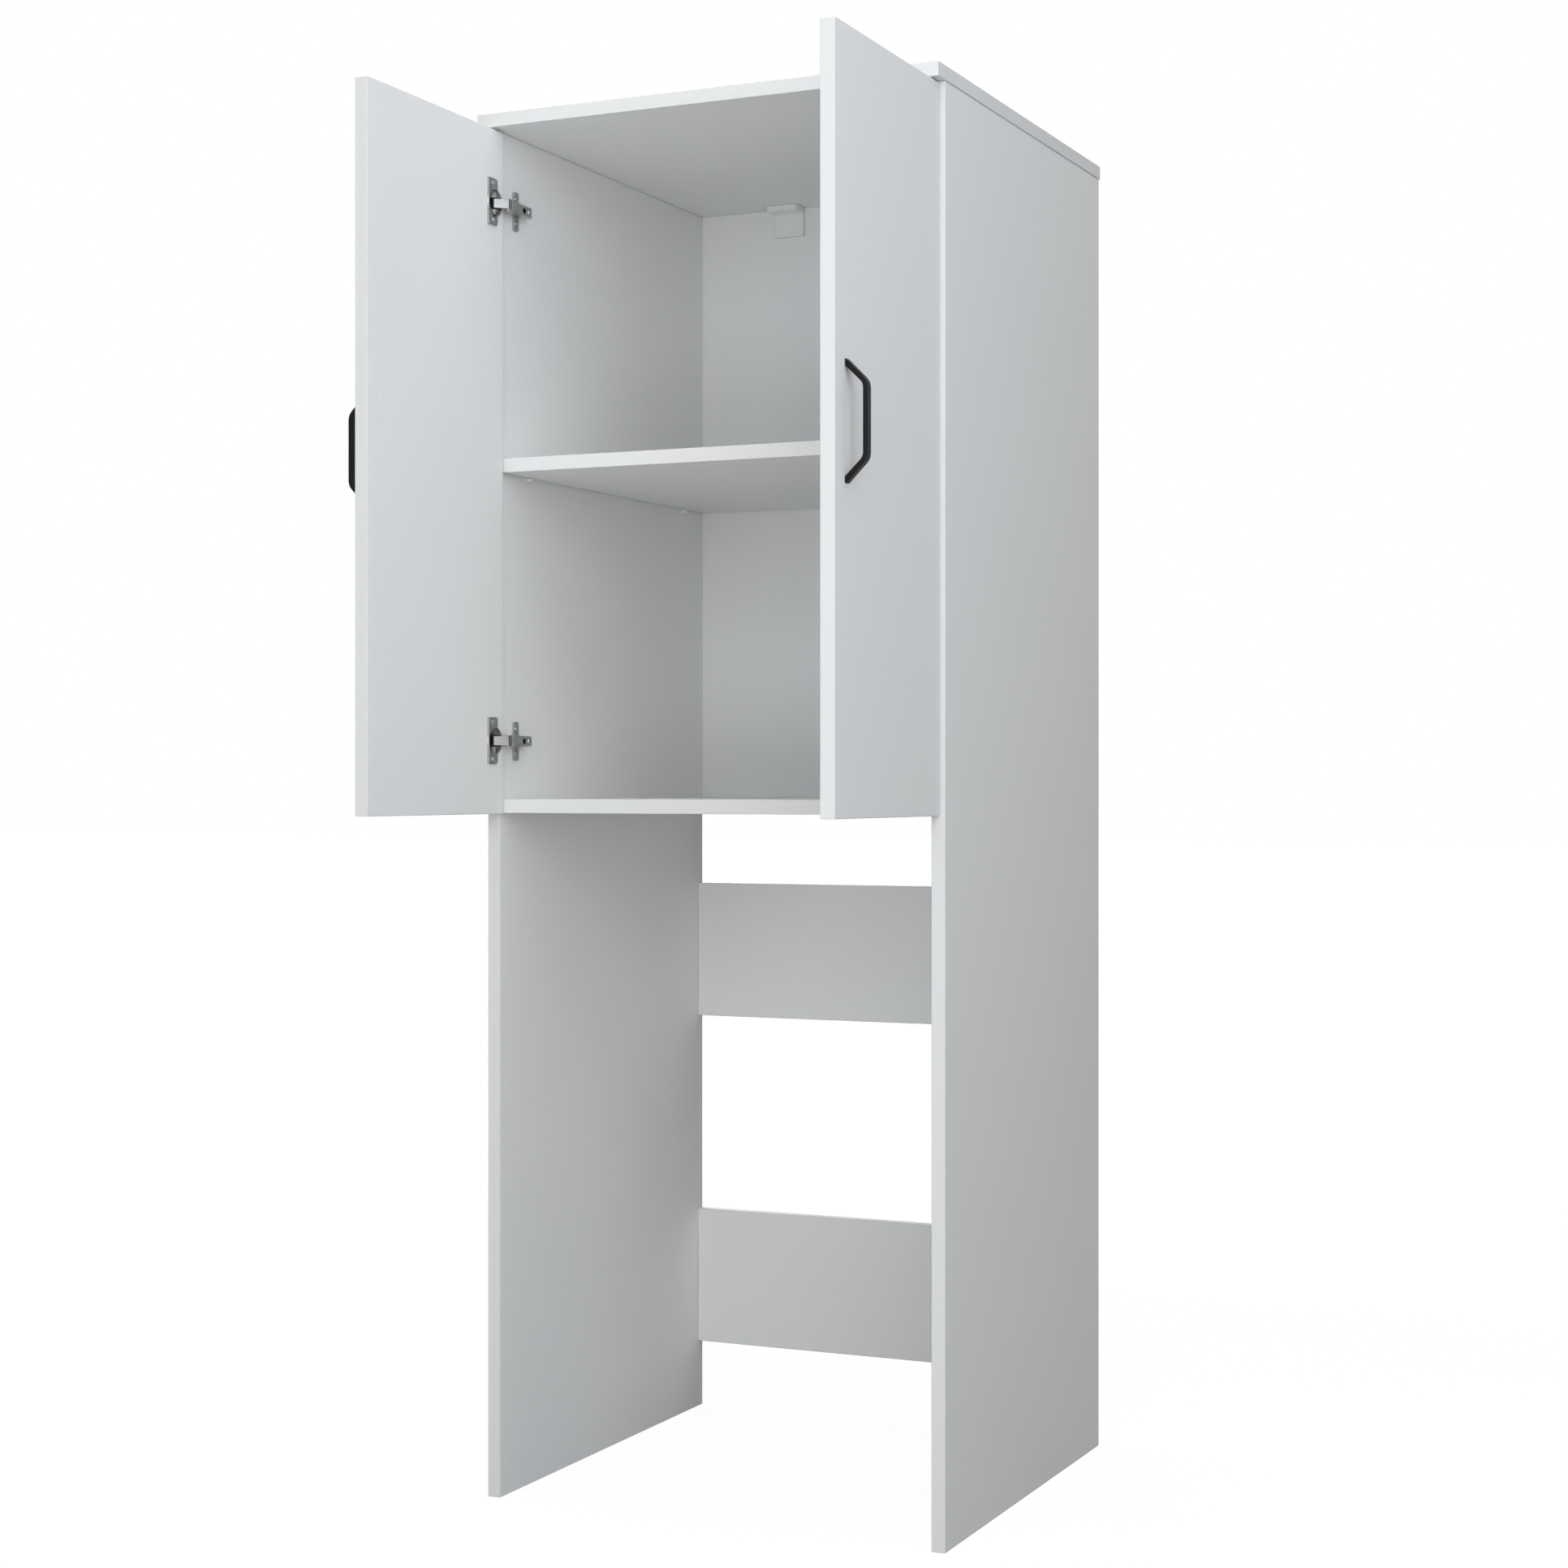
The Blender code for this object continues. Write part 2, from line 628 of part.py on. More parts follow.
def shelf_pins():
    """Turned pins in the side panels, under the shelf."""
    collar_end = SHELF_PIN_COLLAR + SEAM
    profile = [
        (0.0, SHELF_PIN_REACH),
        (SHELF_PIN_RADIUS, SHELF_PIN_REACH),
        (SHELF_PIN_RADIUS, collar_end),
        (SHELF_PIN_COLLAR_RADIUS, collar_end),
        (SHELF_PIN_COLLAR_RADIUS, SEAM),
        (SHELF_PIN_RADIUS, SEAM),
        (SHELF_PIN_RADIUS, -SHELF_PIN_IN_PANEL),
        (0.0, -SHELF_PIN_IN_PANEL),
    ]
    for side, sign in SIDES.items():
        for place, y in SHELF_PIN_PLACES.items():
            start = (sign * PANEL_INNER, y, SHELF_PIN_Z)
            pin = turned_mesh(profile, start, (-sign, 0, 0))
            node(f"{side}_shelf_pin_{place}", pin, WHITE_PLASTIC, start)


def corner_brackets():
    """Angle brackets between the top board and the back panel."""
    top = TOP_UNDERSIDE - SEAM
    rear = SIDE_DEPTH
    front = rear - BRACKET_REACH
    foot = top - BRACKET_DROP
    inner = (rear - BRACKET_BACK_LEG, top - BRACKET_TOP_LEG)
    fillet = arc((inner[0] - BRACKET_FILLET, inner[1] - BRACKET_FILLET), BRACKET_FILLET, 90.0, 0.0)
    outline = [(front, top), (front, inner[1]), *fillet, (inner[0], foot), (rear, foot), (rear, top)]
    for side, sign in SIDES.items():
        middle = sign * BRACKET_MIDDLE
        half = BRACKET_WIDTH / 2
        angle = plate_mesh([outline], middle - half, middle + half, "vw")
        node(side + "_corner_bracket", eased(angle, BRACKET_EASE), WHITE_PLASTIC, (middle, rear, top))


# The doors

def door(side, parent):
    """A door standing open, bored for its hinge cups and handle screws."""
    sign = SIDES[side]
    face = sign * DOOR_INNER
    out = (sign, 0, 0)
    holes = []
    for z in HINGE_HEIGHTS.values():
        mouth = (face, -OPEN_EDGE_GAP - CUP_CENTRE, z)
        holes.append(bore(mouth, out, CUP_BORE_RADIUS, CUP_BORE_DEPTH, ROUND_STEPS))
    for z in handle_screw_heights():
        head = bore((face, HANDLE_Y, z), out, HANDLE_SCREW_HEAD + SEAM, HANDLE_SCREW_HEAD_DEPTH)
        through = DOOR_THICKNESS + CUT_OVERRUN
        shank = bore((face, HANDLE_Y, z), out, HANDLE_SCREW_SHANK + SEAM, through)
        holes.append(joined(head, shank))
    ends = sorted((face, sign * DOOR_OUTER))
    low = (ends[0], FREE_EDGE, DOOR_BOTTOM)
    high = (ends[1], -OPEN_EDGE_GAP, DOOR_TOP)
    board(side + "_door", low, high, WHITE_BOARD, holes, parent)


def handle_screw_heights():
    """The heights of a handle's two screws."""
    return DOOR_MIDDLE - HANDLE_SCREW_CENTRES / 2, DOOR_MIDDLE + HANDLE_SCREW_CENTRES / 2


def handle_outline():
    """The handle seen from its edge, as (distance from the door, height) points."""
    lean = math.radians(45)
    half = HANDLE_LENGTH / 2 + HANDLE_HEEL
    inner_bend = HANDLE_BEND - HANDLE_THICKNESS
    run = HANDLE_PROJECTION
    outer_corner = half - run
    back = HANDLE_BEND * math.tan(lean / 2)
    centre = (run - HANDLE_BEND, outer_corner - back)
    outer = arc(centre, HANDLE_BEND, 0.0, 45.0)
    inner = arc(centre, inner_bend, 45.0, 0.0)
    foot_inner = half - HANDLE_THICKNESS / math.sin(lean)
    upper = outer + [(HANDLE_HEEL, half - HANDLE_HEEL), (SEAM, half - HANDLE_HEEL)]
    upper += [(SEAM, foot_inner - SEAM - HANDLE_HEEL), (HANDLE_HEEL, foot_inner - HANDLE_HEEL - SEAM)]
    upper += inner
    lower = [(a, -b) for a, b in reversed(upper)]
    return upper + lower


def handle(side, parent):
    """A black bow handle of flat bar, with a threaded hole in each foot."""
    sign = SIDES[side]
    outline = [(sign * (DOOR_OUTER + a), DOOR_MIDDLE + b) for a, b in handle_outline()]
    half = HANDLE_WIDTH / 2
    bar = plate_mesh([outline], -HANDLE_Y - half, -HANDLE_Y + half, "uw")
    bar = eased(bar, HANDLE_EASE)
    foot = sign * (DOOR_OUTER + SEAM)
    deep = HANDLE_THREAD_DEPTH
    holes = [bore((foot, HANDLE_Y, z), (sign, 0, 0), HANDLE_SCREW_SHANK + SEAM, deep) for z in handle_screw_heights()]
    origin = (foot, HANDLE_Y, DOOR_MIDDLE)
    node(side + "_handle", cut(bar, *holes), BLACK, origin, parent)


def eased(mesh, width):
    """The mesh with its sharp edges bevelled."""
    body = add_object("eased", mesh, CUTTERS)
    bevel = body.modifiers.new("ease", "BEVEL")
    bevel.width = width
    bevel.segments = 1
    bevel.limit_method = "ANGLE"
    bevel.angle_limit = SHARP_ANGLE
    result = evaluated_mesh(body)
    drop(body)
    return welded(result)


def handle_screws(side, parent):
    """The screws that hold a handle, put in from the door's inner face."""
    sign = SIDES[side]
    length = DOOR_THICKNESS + HANDLE_THREAD_DEPTH
    profile = [
        (0.0, 0.0),
        (HANDLE_SCREW_HEAD, 0.0),
        (HANDLE_SCREW_HEAD, -HANDLE_SCREW_HEAD_DEPTH + SEAM),
        (HANDLE_SCREW_SHANK, -HANDLE_SCREW_HEAD_DEPTH + SEAM),
        (HANDLE_SCREW_SHANK, -length),
        (0.0, -length),
    ]
    for which, z in zip(("lower", "upper"), handle_screw_heights()):
        start = (sign * DOOR_INNER, HANDLE_Y, z)
        screw = turned_mesh(profile, start, (-sign, 0, 0))
        node(f"{side}_handle_screw_{which}", screw, NICKEL, start, parent)


# The hinge linkage, as (u, v) points with the door open

def unit(angle):
    """The direction of an angle in radians."""
    return Vector((math.cos(angle), math.sin(angle)))


def swing_pole():
    """The point about which a quarter turn takes the closed door to the open one."""
    closed_edge = -(BOARD - SIDE_REVEAL)
    open_face = OPEN_FACE_INSET
    u = (open_face - OPEN_EDGE_GAP + CLOSED_GAP + closed_edge) / 2
    return Vector((u, closed_edge - OPEN_EDGE_GAP - u))


def cup_pin(arm_pin, reach, opened):
    """The cup pin that keeps its link's length from the closed door to the open one."""
    pole = swing_pole()
    away = Vector(arm_pin) - pole
    angle = math.atan2(away.y, away.x)
    eighth = math.radians(45)
    return pole + unit(angle - eighth if opened else angle + eighth) * reach


def link_turn(arm_pin, reach):
    """How far a link turns while the door opens, in radians."""
    opened = cup_pin(arm_pin, reach, True) - Vector(arm_pin)
    closed = cup_pin(arm_pin, reach, False) - Vector(arm_pin)
    return closed.angle_signed(opened) * -1.0


def knee(start, end, share, rise):
    """The bend of a link, off the straight line between its pins."""
    along = end - start
    across = Vector((-along.y, along.x)).normalized()
    return start + along * share + across * rise


def turned(point, about, angle):
    """A point turned about another."""
    return about + Matrix.Rotation(angle, 2) @ (point - about)


INNER_PIN = Vector(INNER_ARM_PIN)
OUTER_PIN = Vector(OUTER_ARM_PIN)
INNER_CUP_PIN = cup_pin(INNER_ARM_PIN, INNER_POLE_REACH, True)
OUTER_CUP_PIN = cup_pin(OUTER_ARM_PIN, OUTER_POLE_REACH, True)
EYE = PIN_RADIUS + PIN_PLAY + EYE_WALL


def slot_places():
    """Where the outer cup pin lies in the open outer link, from the wide open door to the closed one.

    The door turns on the inner link by a steady share of the swing, and the outer link turns by
    its own steady share, so the cup pin wanders a little in the outer link's rear eye.
    """
    inner_turn = link_turn(INNER_ARM_PIN, INNER_POLE_REACH)
    outer_turn = link_turn(OUTER_ARM_PIN, OUTER_POLE_REACH)
    places = []
    quarter = math.radians(90)
    past = DOOR_PAST_SQUARE / quarter
    for step in range(SWING_STEPS + 1):
        share = past - (1 + past) * step / SWING_STEPS
        carried = turned(INNER_CUP_PIN, INNER_PIN, inner_turn * share)
        offset = Matrix.Rotation(-quarter * share, 2) @ (OUTER_CUP_PIN - INNER_CUP_PIN)
        places.append(turned(carried + offset, OUTER_PIN, -outer_turn * share))
    return places


def inner_link():
    """The inner link, a bent bar between the arm's rear pin and the cup's near pin."""
    bend = knee(INNER_PIN, INNER_CUP_PIN, INNER_KNEE_SHARE, INNER_KNEE)
    half = INNER_LINK_HALF_WIDTH
    front = plate_mesh([hull((INNER_PIN, EYE), (bend, LINK_HALF))], -half, half, "uv")
    rear = plate_mesh([hull((bend, LINK_HALF), (INNER_CUP_PIN, EYE))], -half, half, "uv")
    holes = [pin_hole(place) for place in (INNER_PIN, INNER_CUP_PIN)]
    return cut(joined(front, rear), *holes)


def pin_hole(place):
    """A cutter through a link, for a pin with its play."""
    reach = OUTER_LINK_HALF_WIDTH + CUT_OVERRUN
    return rod_mesh((place[0], place[1], -reach), (place[0], place[1], reach), PIN_RADIUS + PIN_PLAY)


def outer_link():
    """The outer link, a channel whose bright web faces the front."""
    open_turn_bend = knee(OUTER_PIN, OUTER_CUP_PIN, OUTER_KNEE_SHARE, OUTER_KNEE)
    places = slot_places()
    slot_eye = PIN_RADIUS + PIN_PLAY + SLOT_WALL
    half = OUTER_LINK_HALF_WIDTH
    inner_half = half - OUTER_LINK_SHEET
    front = plate_mesh([hull((OUTER_PIN, EYE), (open_turn_bend, LINK_HALF))], -half, half, "uv")
    rear_circles = [(place, slot_eye) for place in places]
    rear = plate_mesh([hull((open_turn_bend, LINK_HALF), *rear_circles)], -half, half, "uv")
    body = joined(front, rear)
    web = web_outline(OUTER_PIN, open_turn_bend)
    hollow = plate_mesh([hull((OUTER_PIN, half), (open_turn_bend, half), (OUTER_CUP_PIN, half))],
                        -inner_half, inner_half, "uv")
    hollow = cut(hollow, plate_mesh([web], -half, half, "uv"))
    body = cut(body, hollow)
    reach = half + CUT_OVERRUN
    slot = plate_mesh([hull(*[(place, PIN_RADIUS + PIN_PLAY) for place in places])], -reach, reach, "uv")
    return cut(body, pin_hole(OUTER_PIN), slot)


def web_outline(start, end):
    """The strip of the outer link's web along its front edge, from beside the pin to the bend."""
    along = (end - start).normalized()
    across = Vector((-along.y, along.x))
    first = start + along * OUTER_WEB
    last = end + along * LINK_HALF
    inner = [first + across * (EYE - OUTER_WEB), last + across * (LINK_HALF - OUTER_WEB)]
    outer = [last + across * (LINK_HALF + OUTER_WEB), first + across * (EYE + OUTER_WEB)]
    return [tuple(point) for point in inner + outer]


def cup():
    """The hinge cup with its flange, the bosses in its pot and the two pins that they carry."""
    face = OPEN_FACE_INSET
    centre = -OPEN_EDGE_GAP - CUP_CENTRE
    pot_radius = CUP_BORE_RADIUS - SEAM
    pot_depth = CUP_BORE_DEPTH - SEAM
    inner_radius = pot_radius - CUP_WALL
    seat = face + SEAM
    pot = rod_mesh((seat + CUP_RIM / 2, centre, 0), (face - pot_depth, centre, 0), pot_radius, ROUND_STEPS)
    rim = rod_mesh((seat, centre, 0), (seat + CUP_RIM, centre, 0), CUP_RIM_RADIUS, ROUND_STEPS)
    near, far = -OPEN_EDGE_GAP - CUP_EAR_NEAR, -OPEN_EDGE_GAP - CUP_EAR_FAR
    high, corner = CUP_EAR_HALF_HEIGHT, CUP_EAR_CORNER
    outline = [(far, -high), (far, high)]
    outline += arc((near - corner, high - corner), corner, 90.0, 0.0)
    outline += arc((near - corner, -high + corner), corner, 0.0, -90.0)
    ears = plate_mesh([outline[::-1]], seat, seat + CUP_EAR, "vw")
    cavity = rod_mesh((face + CUP_EAR + CUT_OVERRUN, centre, 0), (face - pot_depth + CUP_FLOOR, centre, 0),
                      inner_radius, ROUND_STEPS)
    bosses = []
    for sign in (-1, 1):
        ends = sorted((sign * CUP_BOSS_FROM, sign * CUP_BORE_RADIUS))
        low = (face - CUP_BORE_DEPTH, -OPEN_EDGE_GAP - CUP_BOSS_TO, ends[0])
        bosses.append(box_mesh(low, (face - CUP_BOSS_DROP, -OPEN_EDGE_GAP, ends[1])))
    cavity = cut(cavity, *bosses)
    reach = CUP_BOSS_FROM + PIN_RADIUS
    pins = [rod_mesh((pin[0], pin[1], -reach), (pin[0], pin[1], reach), PIN_RADIUS, SMALL_STEPS)
            for pin in (INNER_CUP_PIN, OUTER_CUP_PIN)]
    middle = -OPEN_EDGE_GAP - CUP_EAR_HOLE_CENTRE
    holes = [bore((seat + CUP_EAR, middle, sign * CUP_EAR_HOLE_SPREAD), (-1, 0, 0), CUP_EAR_HOLE,
                  CUP_EAR + CUT_OVERRUN) for sign in (-1, 1)]
    body = cut(joined(pot, rim, ears), cavity)
    return cut(joined(body, *pins), *holes)


def arm():
    """The arm, a folded channel over the mounting plate, whose nose carries the links' pins."""
    level = ARM_WEB_LEVEL
    nose = ARM_NOSE_RADIUS
    lowest = ARM_SIDE_DROP
    rear_low = (lowest + nose, ARM_REAR - nose)
    rear_high = (level - nose, ARM_REAR - nose)
    step_low = (lowest + nose, INNER_PIN.y + nose * 2)
    back = plate_mesh([hull((rear_low, nose), (rear_high, nose), (step_low, nose),
                            ((level - nose, ARM_WEB_FRONT + nose), nose))],
                      -ARM_HALF_WIDTH, ARM_HALF_WIDTH, "uv")
    front = plate_mesh([hull((OUTER_PIN, nose), (INNER_PIN, nose * 2), (step_low, nose),
                             ((level - nose, INNER_PIN.y + nose * 3), nose))],
                       -ARM_HALF_WIDTH, ARM_HALF_WIDTH, "uv")
    inner_half = ARM_HALF_WIDTH - ARM_SHEET
    hollow = box_mesh((-CUT_OVERRUN, ARM_WEB_FRONT, -inner_half),
                      (level - ARM_SHEET, ARM_REAR + CUT_OVERRUN, inner_half))
    mouth = box_mesh((-CUT_OVERRUN, OUTER_PIN.y - nose - CUT_OVERRUN, -inner_half),
                     (OUTER_PIN.x + nose + CUT_OVERRUN, ARM_WEB_FRONT + CUT_OVERRUN / 2, inner_half))
    body = cut(joined(back, front), hollow, mouth)
    for_screws = []
    top, foot = level + CUT_OVERRUN, level - ARM_SHEET - CUT_OVERRUN
    first, last = ARM_ADJUST_HOLE
    radius = ARM_ADJUST_HOLE_RADIUS
    oval = [((first + radius, 0.0), radius), ((last - radius, 0.0), radius)]
    for_screws.append(plate_mesh([hull(*oval)], foot, top, "vw"))
    for_screws.append(plate_mesh([circle((ARM_ROUND_HOLE[0], 0.0), ARM_ROUND_HOLE[1])], foot, top, "vw"))
    notch = [((ARM_FIXING_SLOT_START, 0.0), ARM_FIXING_SLOT_RADIUS),
             ((ARM_REAR + CUT_OVERRUN, 0.0), ARM_FIXING_SLOT_RADIUS)]
    for_screws.append(plate_mesh([hull(*notch)], foot, top, "vw"))
    body = cut(body, *for_screws)
    reach = ARM_HALF_WIDTH - ARM_SHEET / 2
    pins = [rod_mesh((pin.x, pin.y, -reach), (pin.x, pin.y, reach), PIN_RADIUS) for pin in (INNER_PIN, OUTER_PIN)]
    return tapered(joined(body, *pins))


def tapered(mesh):
    """Narrows the arm evenly towards its rear end."""
    start = INNER_PIN.y + EYE
    share = 1.0 - ARM_REAR_HALF_WIDTH / ARM_HALF_WIDTH
    for vertex in mesh.vertices:
        along = max(0.0, vertex.co.y - start) / (ARM_REAR - start)
        vertex.co.z *= 1.0 - share * along
    return mesh


def mounting_plate():
    """The plate that carries the arm: two screwed wings and a raised body inside the arm."""
    low, high = PLATE_MIDDLE - PLATE_WING_WIDTH / 2, PLATE_MIDDLE + PLATE_WING_WIDTH / 2
    tall = PLATE_WING_HALF_HEIGHT
    wings = rounded_box((low, -tall), (high, tall), PLATE_WING_CORNER)
    slots = []
    for sign in (-1, 1):
        middle = sign * PLATE_SLOT_SPREAD
        ends = [((PLATE_MIDDLE, middle + shift), PLATE_SLOT_RADIUS) for shift in
                (-PLATE_SLOT_HALF_LENGTH, PLATE_SLOT_HALF_LENGTH)]
        slots.append(hull(*ends))
    base = plate_mesh([wings, *slots], SEAM, SEAM + PLATE_WING, "vw")
    top = ARM_WEB_LEVEL - ARM_SHEET - SEAM
    half = PLATE_BODY_HALF_WIDTH
    ease = PLATE_BODY_EASE
    outline = [(SEAM, PLATE_BODY_FRONT), (SEAM, PLATE_BODY_REAR), (top - ease, PLATE_BODY_REAR),
               (top, PLATE_BODY_REAR - ease), (top, PLATE_BODY_FRONT + ease), (top - ease, PLATE_BODY_FRONT)]
    body = plate_mesh([outline[::-1]], -half, half, "uv")
    return joined(base, body)


def mirrored(mesh):
    """A copy of a mesh for the right-hand side."""
    copy = mesh.copy()
    copy.transform(Matrix.Diagonal((-1.0, 1.0, 1.0, 1.0)))
    copy.flip_normals()
    return copy


def hinges(door_frames):
    """Four hinges, the right-hand ones mirrored."""
    pieces = {
        "hinge_mounting_plate": (mounting_plate(), ZINC, Vector((0, PLATE_MIDDLE)), False),
        "hinge_arm": (arm(), NICKEL, OUTER_PIN, False),
        "hinge_inner_link": (inner_link(), NICKEL, INNER_PIN, False),
        "hinge_outer_link": (outer_link(), BRIGHT_NICKEL, OUTER_PIN, False),
        "hinge_cup": (cup(), NICKEL, INNER_CUP_PIN, True),
    }
    for side, sign in SIDES.items():
        for which, z in HINGE_HEIGHTS.items():
            for kind, (mesh, material, axis, on_door) in pieces.items():
                shape = mesh.copy() if sign < 0 else mirrored(mesh)
                place = Vector((sign * PANEL_INNER, 0.0, z))
                shape.transform(Matrix.Translation(place))
                origin = place + Vector((-sign * axis.x, axis.y, 0.0))
                parent = door_frames[side] if on_door else None
                node(f"{side}_{which}_{kind}", shape, material, origin, parent)
    for mesh, _, _, _ in pieces.values():
        bpy.data.meshes.remove(mesh)


def empty(name, place, parent=None):
    """A frame that carries other pieces."""
    made = bpy.data.objects.new(name, None)
    CABINET.objects.link(made)
    made.location = place
    made.parent = parent
    return made


FRONT = empty("cabinet_front", (0, FRONT_PLACE, 0))


def main():
    """Builds the whole cabinet."""
    for side in SIDES:
        side_panel(side)
    top_board()
    cabinet_floor()
    shelf()
    back_panel()
    for which, underside in RAILS.items():
        rail(which, underside)
    dowels()
    cam_fittings()
    shelf_pins()
    corner_brackets()
    door_frames = {}
    for side, sign in SIDES.items():
        axis = (sign * (PANEL_INNER - INNER_CUP_PIN.x), INNER_CUP_PIN.y, 0.0)
        door_frames[side] = empty(side + "_door_axis", axis, FRONT)
        door(side, door_frames[side])
        handle(side, door_frames[side])
        handle_screws(side, door_frames[side])
    hinges(door_frames)


main()
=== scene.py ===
"""Dresses the washing machine cabinet: its finishes, screws, caps and nails, the floor, light and camera.

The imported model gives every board, fitting and hinge link its place. Each class below takes one
sub-assembly of it and gives its nodes their finish. Smooth pieces stand in for the small nodes, a web
and a nose close the front of each hinge, and screws, caps and nails are added.
"""

import json
import logging
import math
from dataclasses import dataclass, field
from enum import Enum
from functools import cache

import bmesh
import bpy
from mathutils import Matrix, Vector

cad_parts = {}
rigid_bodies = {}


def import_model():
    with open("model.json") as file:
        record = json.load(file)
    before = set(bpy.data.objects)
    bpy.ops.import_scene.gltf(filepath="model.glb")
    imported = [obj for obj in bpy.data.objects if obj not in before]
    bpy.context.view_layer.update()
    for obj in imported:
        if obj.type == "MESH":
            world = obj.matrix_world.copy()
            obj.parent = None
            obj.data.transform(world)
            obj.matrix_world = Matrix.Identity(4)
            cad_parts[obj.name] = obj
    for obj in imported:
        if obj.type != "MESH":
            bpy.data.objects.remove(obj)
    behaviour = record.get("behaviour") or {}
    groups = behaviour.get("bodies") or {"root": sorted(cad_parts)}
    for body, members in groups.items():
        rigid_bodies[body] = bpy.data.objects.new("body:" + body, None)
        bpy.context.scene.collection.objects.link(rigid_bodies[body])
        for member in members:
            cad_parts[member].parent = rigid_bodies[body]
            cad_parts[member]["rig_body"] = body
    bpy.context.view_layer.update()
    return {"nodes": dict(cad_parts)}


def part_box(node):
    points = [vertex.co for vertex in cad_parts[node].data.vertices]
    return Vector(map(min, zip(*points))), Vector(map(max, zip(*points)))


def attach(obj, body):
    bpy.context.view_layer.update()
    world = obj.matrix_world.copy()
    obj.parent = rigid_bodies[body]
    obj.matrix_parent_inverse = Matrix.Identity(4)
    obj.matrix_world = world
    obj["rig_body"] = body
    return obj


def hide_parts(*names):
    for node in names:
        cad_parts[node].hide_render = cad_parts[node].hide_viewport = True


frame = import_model()
LOG = logging.getLogger("cabinet")

Colour = tuple[float, float, float]
Place = tuple[float, float, float]
Point = tuple[float, float]
Profile = list[Point]
Socket = bpy.types.NodeSocket
Sockets = dict[str, Socket]
Outputs = bpy.types.bpy_prop_collection
Node = bpy.types.Node
Mesh = bpy.types.Mesh
Material = bpy.types.Material

# Points nearer to each other than this are made one point.
WELD = 0.000002
# Faces that turn less than this from each other are made one face.
FLAT = math.radians(0.6)
# Edges that turn more than this stay sharp.
SHARP = math.radians(34)
HERE = Matrix.Identity(4)


class Side(Enum):
    """A side of the cabinet, with the sign of x there."""

    LEFT = -1
    RIGHT = 1

    @property
    def word(self) -> str:
        """The side as node names spell it."""
        return self.name.lower()


class Tier(Enum):
    """The lower or the upper one of two alike fittings."""

    LOWER = "lower"
    UPPER = "upper"


class Drive(Enum):
    """How a fastener's head is driven."""

    CROSS = "cross"
    PLAIN = "plain"


# Shader nodes

class Wiring:
    """Adds and joins the nodes of one tree."""

    def __init__(self, tree: bpy.types.NodeTree) -> None:
        """Starts on a material's, a group's or the world's tree."""
        self.tree = tree

    def node(self, kind: str, **settings: object) -> Node:
        """Adds a node.

        Args:
            kind: the node's type.
            settings: its properties.

        Returns:
            The new node.
        """
        made = self.tree.nodes.new(kind)
        for name, value in settings.items():
            setattr(made, name, value)
        return made

    def feed(self, socket: Socket, value: object) -> None:
        """Links an output to a socket, or sets the socket's own value.

        Args:
            socket: the input.
            value: an output socket, a number or a vector.
        """
        if isinstance(value, Socket):
            self.tree.links.new(value, socket)
        else:
            socket.default_value = value

    def math(self, operation: str, first: object, second: object = 0.0) -> Socket:
        """A sum on two values.

        Args:
            operation: the name of the operation.
            first: a value or an output socket.
            second: likewise.

        Returns:
            The result's socket.
        """
        made = self.node("ShaderNodeMath", operation=operation)
        self.feed(made.inputs[0], first)
        self.feed(made.inputs[1], second)
        return made.outputs[0]

    def vector(self, operation: str, first: object, second: object = (0.0, 0.0, 0.0)) -> Outputs:
        """A sum on two vectors.

        Args:
            operation: the name of the operation.
            first: a vector or an output socket.
            second: likewise.

        Returns:
            The sockets Vector and Value, of which the operation fills one.
        """
        made = self.node("ShaderNodeVectorMath", operation=operation)
        self.feed(made.inputs[0], first)
        self.feed(made.inputs[1], second)
        return made.outputs

    def mix(self, share: object, first: object, second: object, blend: str = "MIX") -> Socket:
        """A blend of two colours.

        Args:
            share: how much of the second colour shows.
            first: a colour or an output socket.
            second: likewise.
            blend: the blend mode.

        Returns:
            The blended colour's socket.
        """
        made = self.node("ShaderNodeMix", data_type="RGBA", blend_type=blend)
        self.feed(made.inputs["Factor"], share)
        for socket, value in zip((made.inputs[6], made.inputs[7]), (first, second)):
            self.feed(socket, value if isinstance(value, Socket) else (*value, 1.0))
        return made.outputs[2]

    def noise(self, scale: object, layers: float, stretch: Vector | None = None) -> Socket:
        """Noise in the piece's own coordinates.

        Args:
            scale: how many blotches there are to a metre.
            layers: how many finer layers it has.
            stretch: factors on the three coordinates, if any.

        Returns:
            The noise's value.
        """
        place = self.node("ShaderNodeTexCoord").outputs["Object"]
        if stretch:
            place = self.vector("MULTIPLY", place, stretch)["Vector"]
        made = self.node("ShaderNodeTexNoise")
        self.feed(made.inputs["Vector"], place)
        self.feed(made.inputs["Scale"], scale)
        self.feed(made.inputs["Detail"], layers)
        return made.outputs["Fac"]

    def ramp(self, value: object, low: float, high: float, start: object, end: object) -> Socket:
        """Maps a value from one range to another.

        Args:
            value: the value's socket.
            low: where the first range starts.
            high: where it ends.
            start: the result at low.
            end: the result at high.

        Returns:
            The mapped value's socket.
        """
        made = self.node("ShaderNodeMapRange")
        sockets = ("Value", "From Min", "From Max", "To Min", "To Max")
        for name, given in zip(sockets, (value, low, high, start, end)):
            self.feed(made.inputs[name], given)
        return made.outputs["Result"]


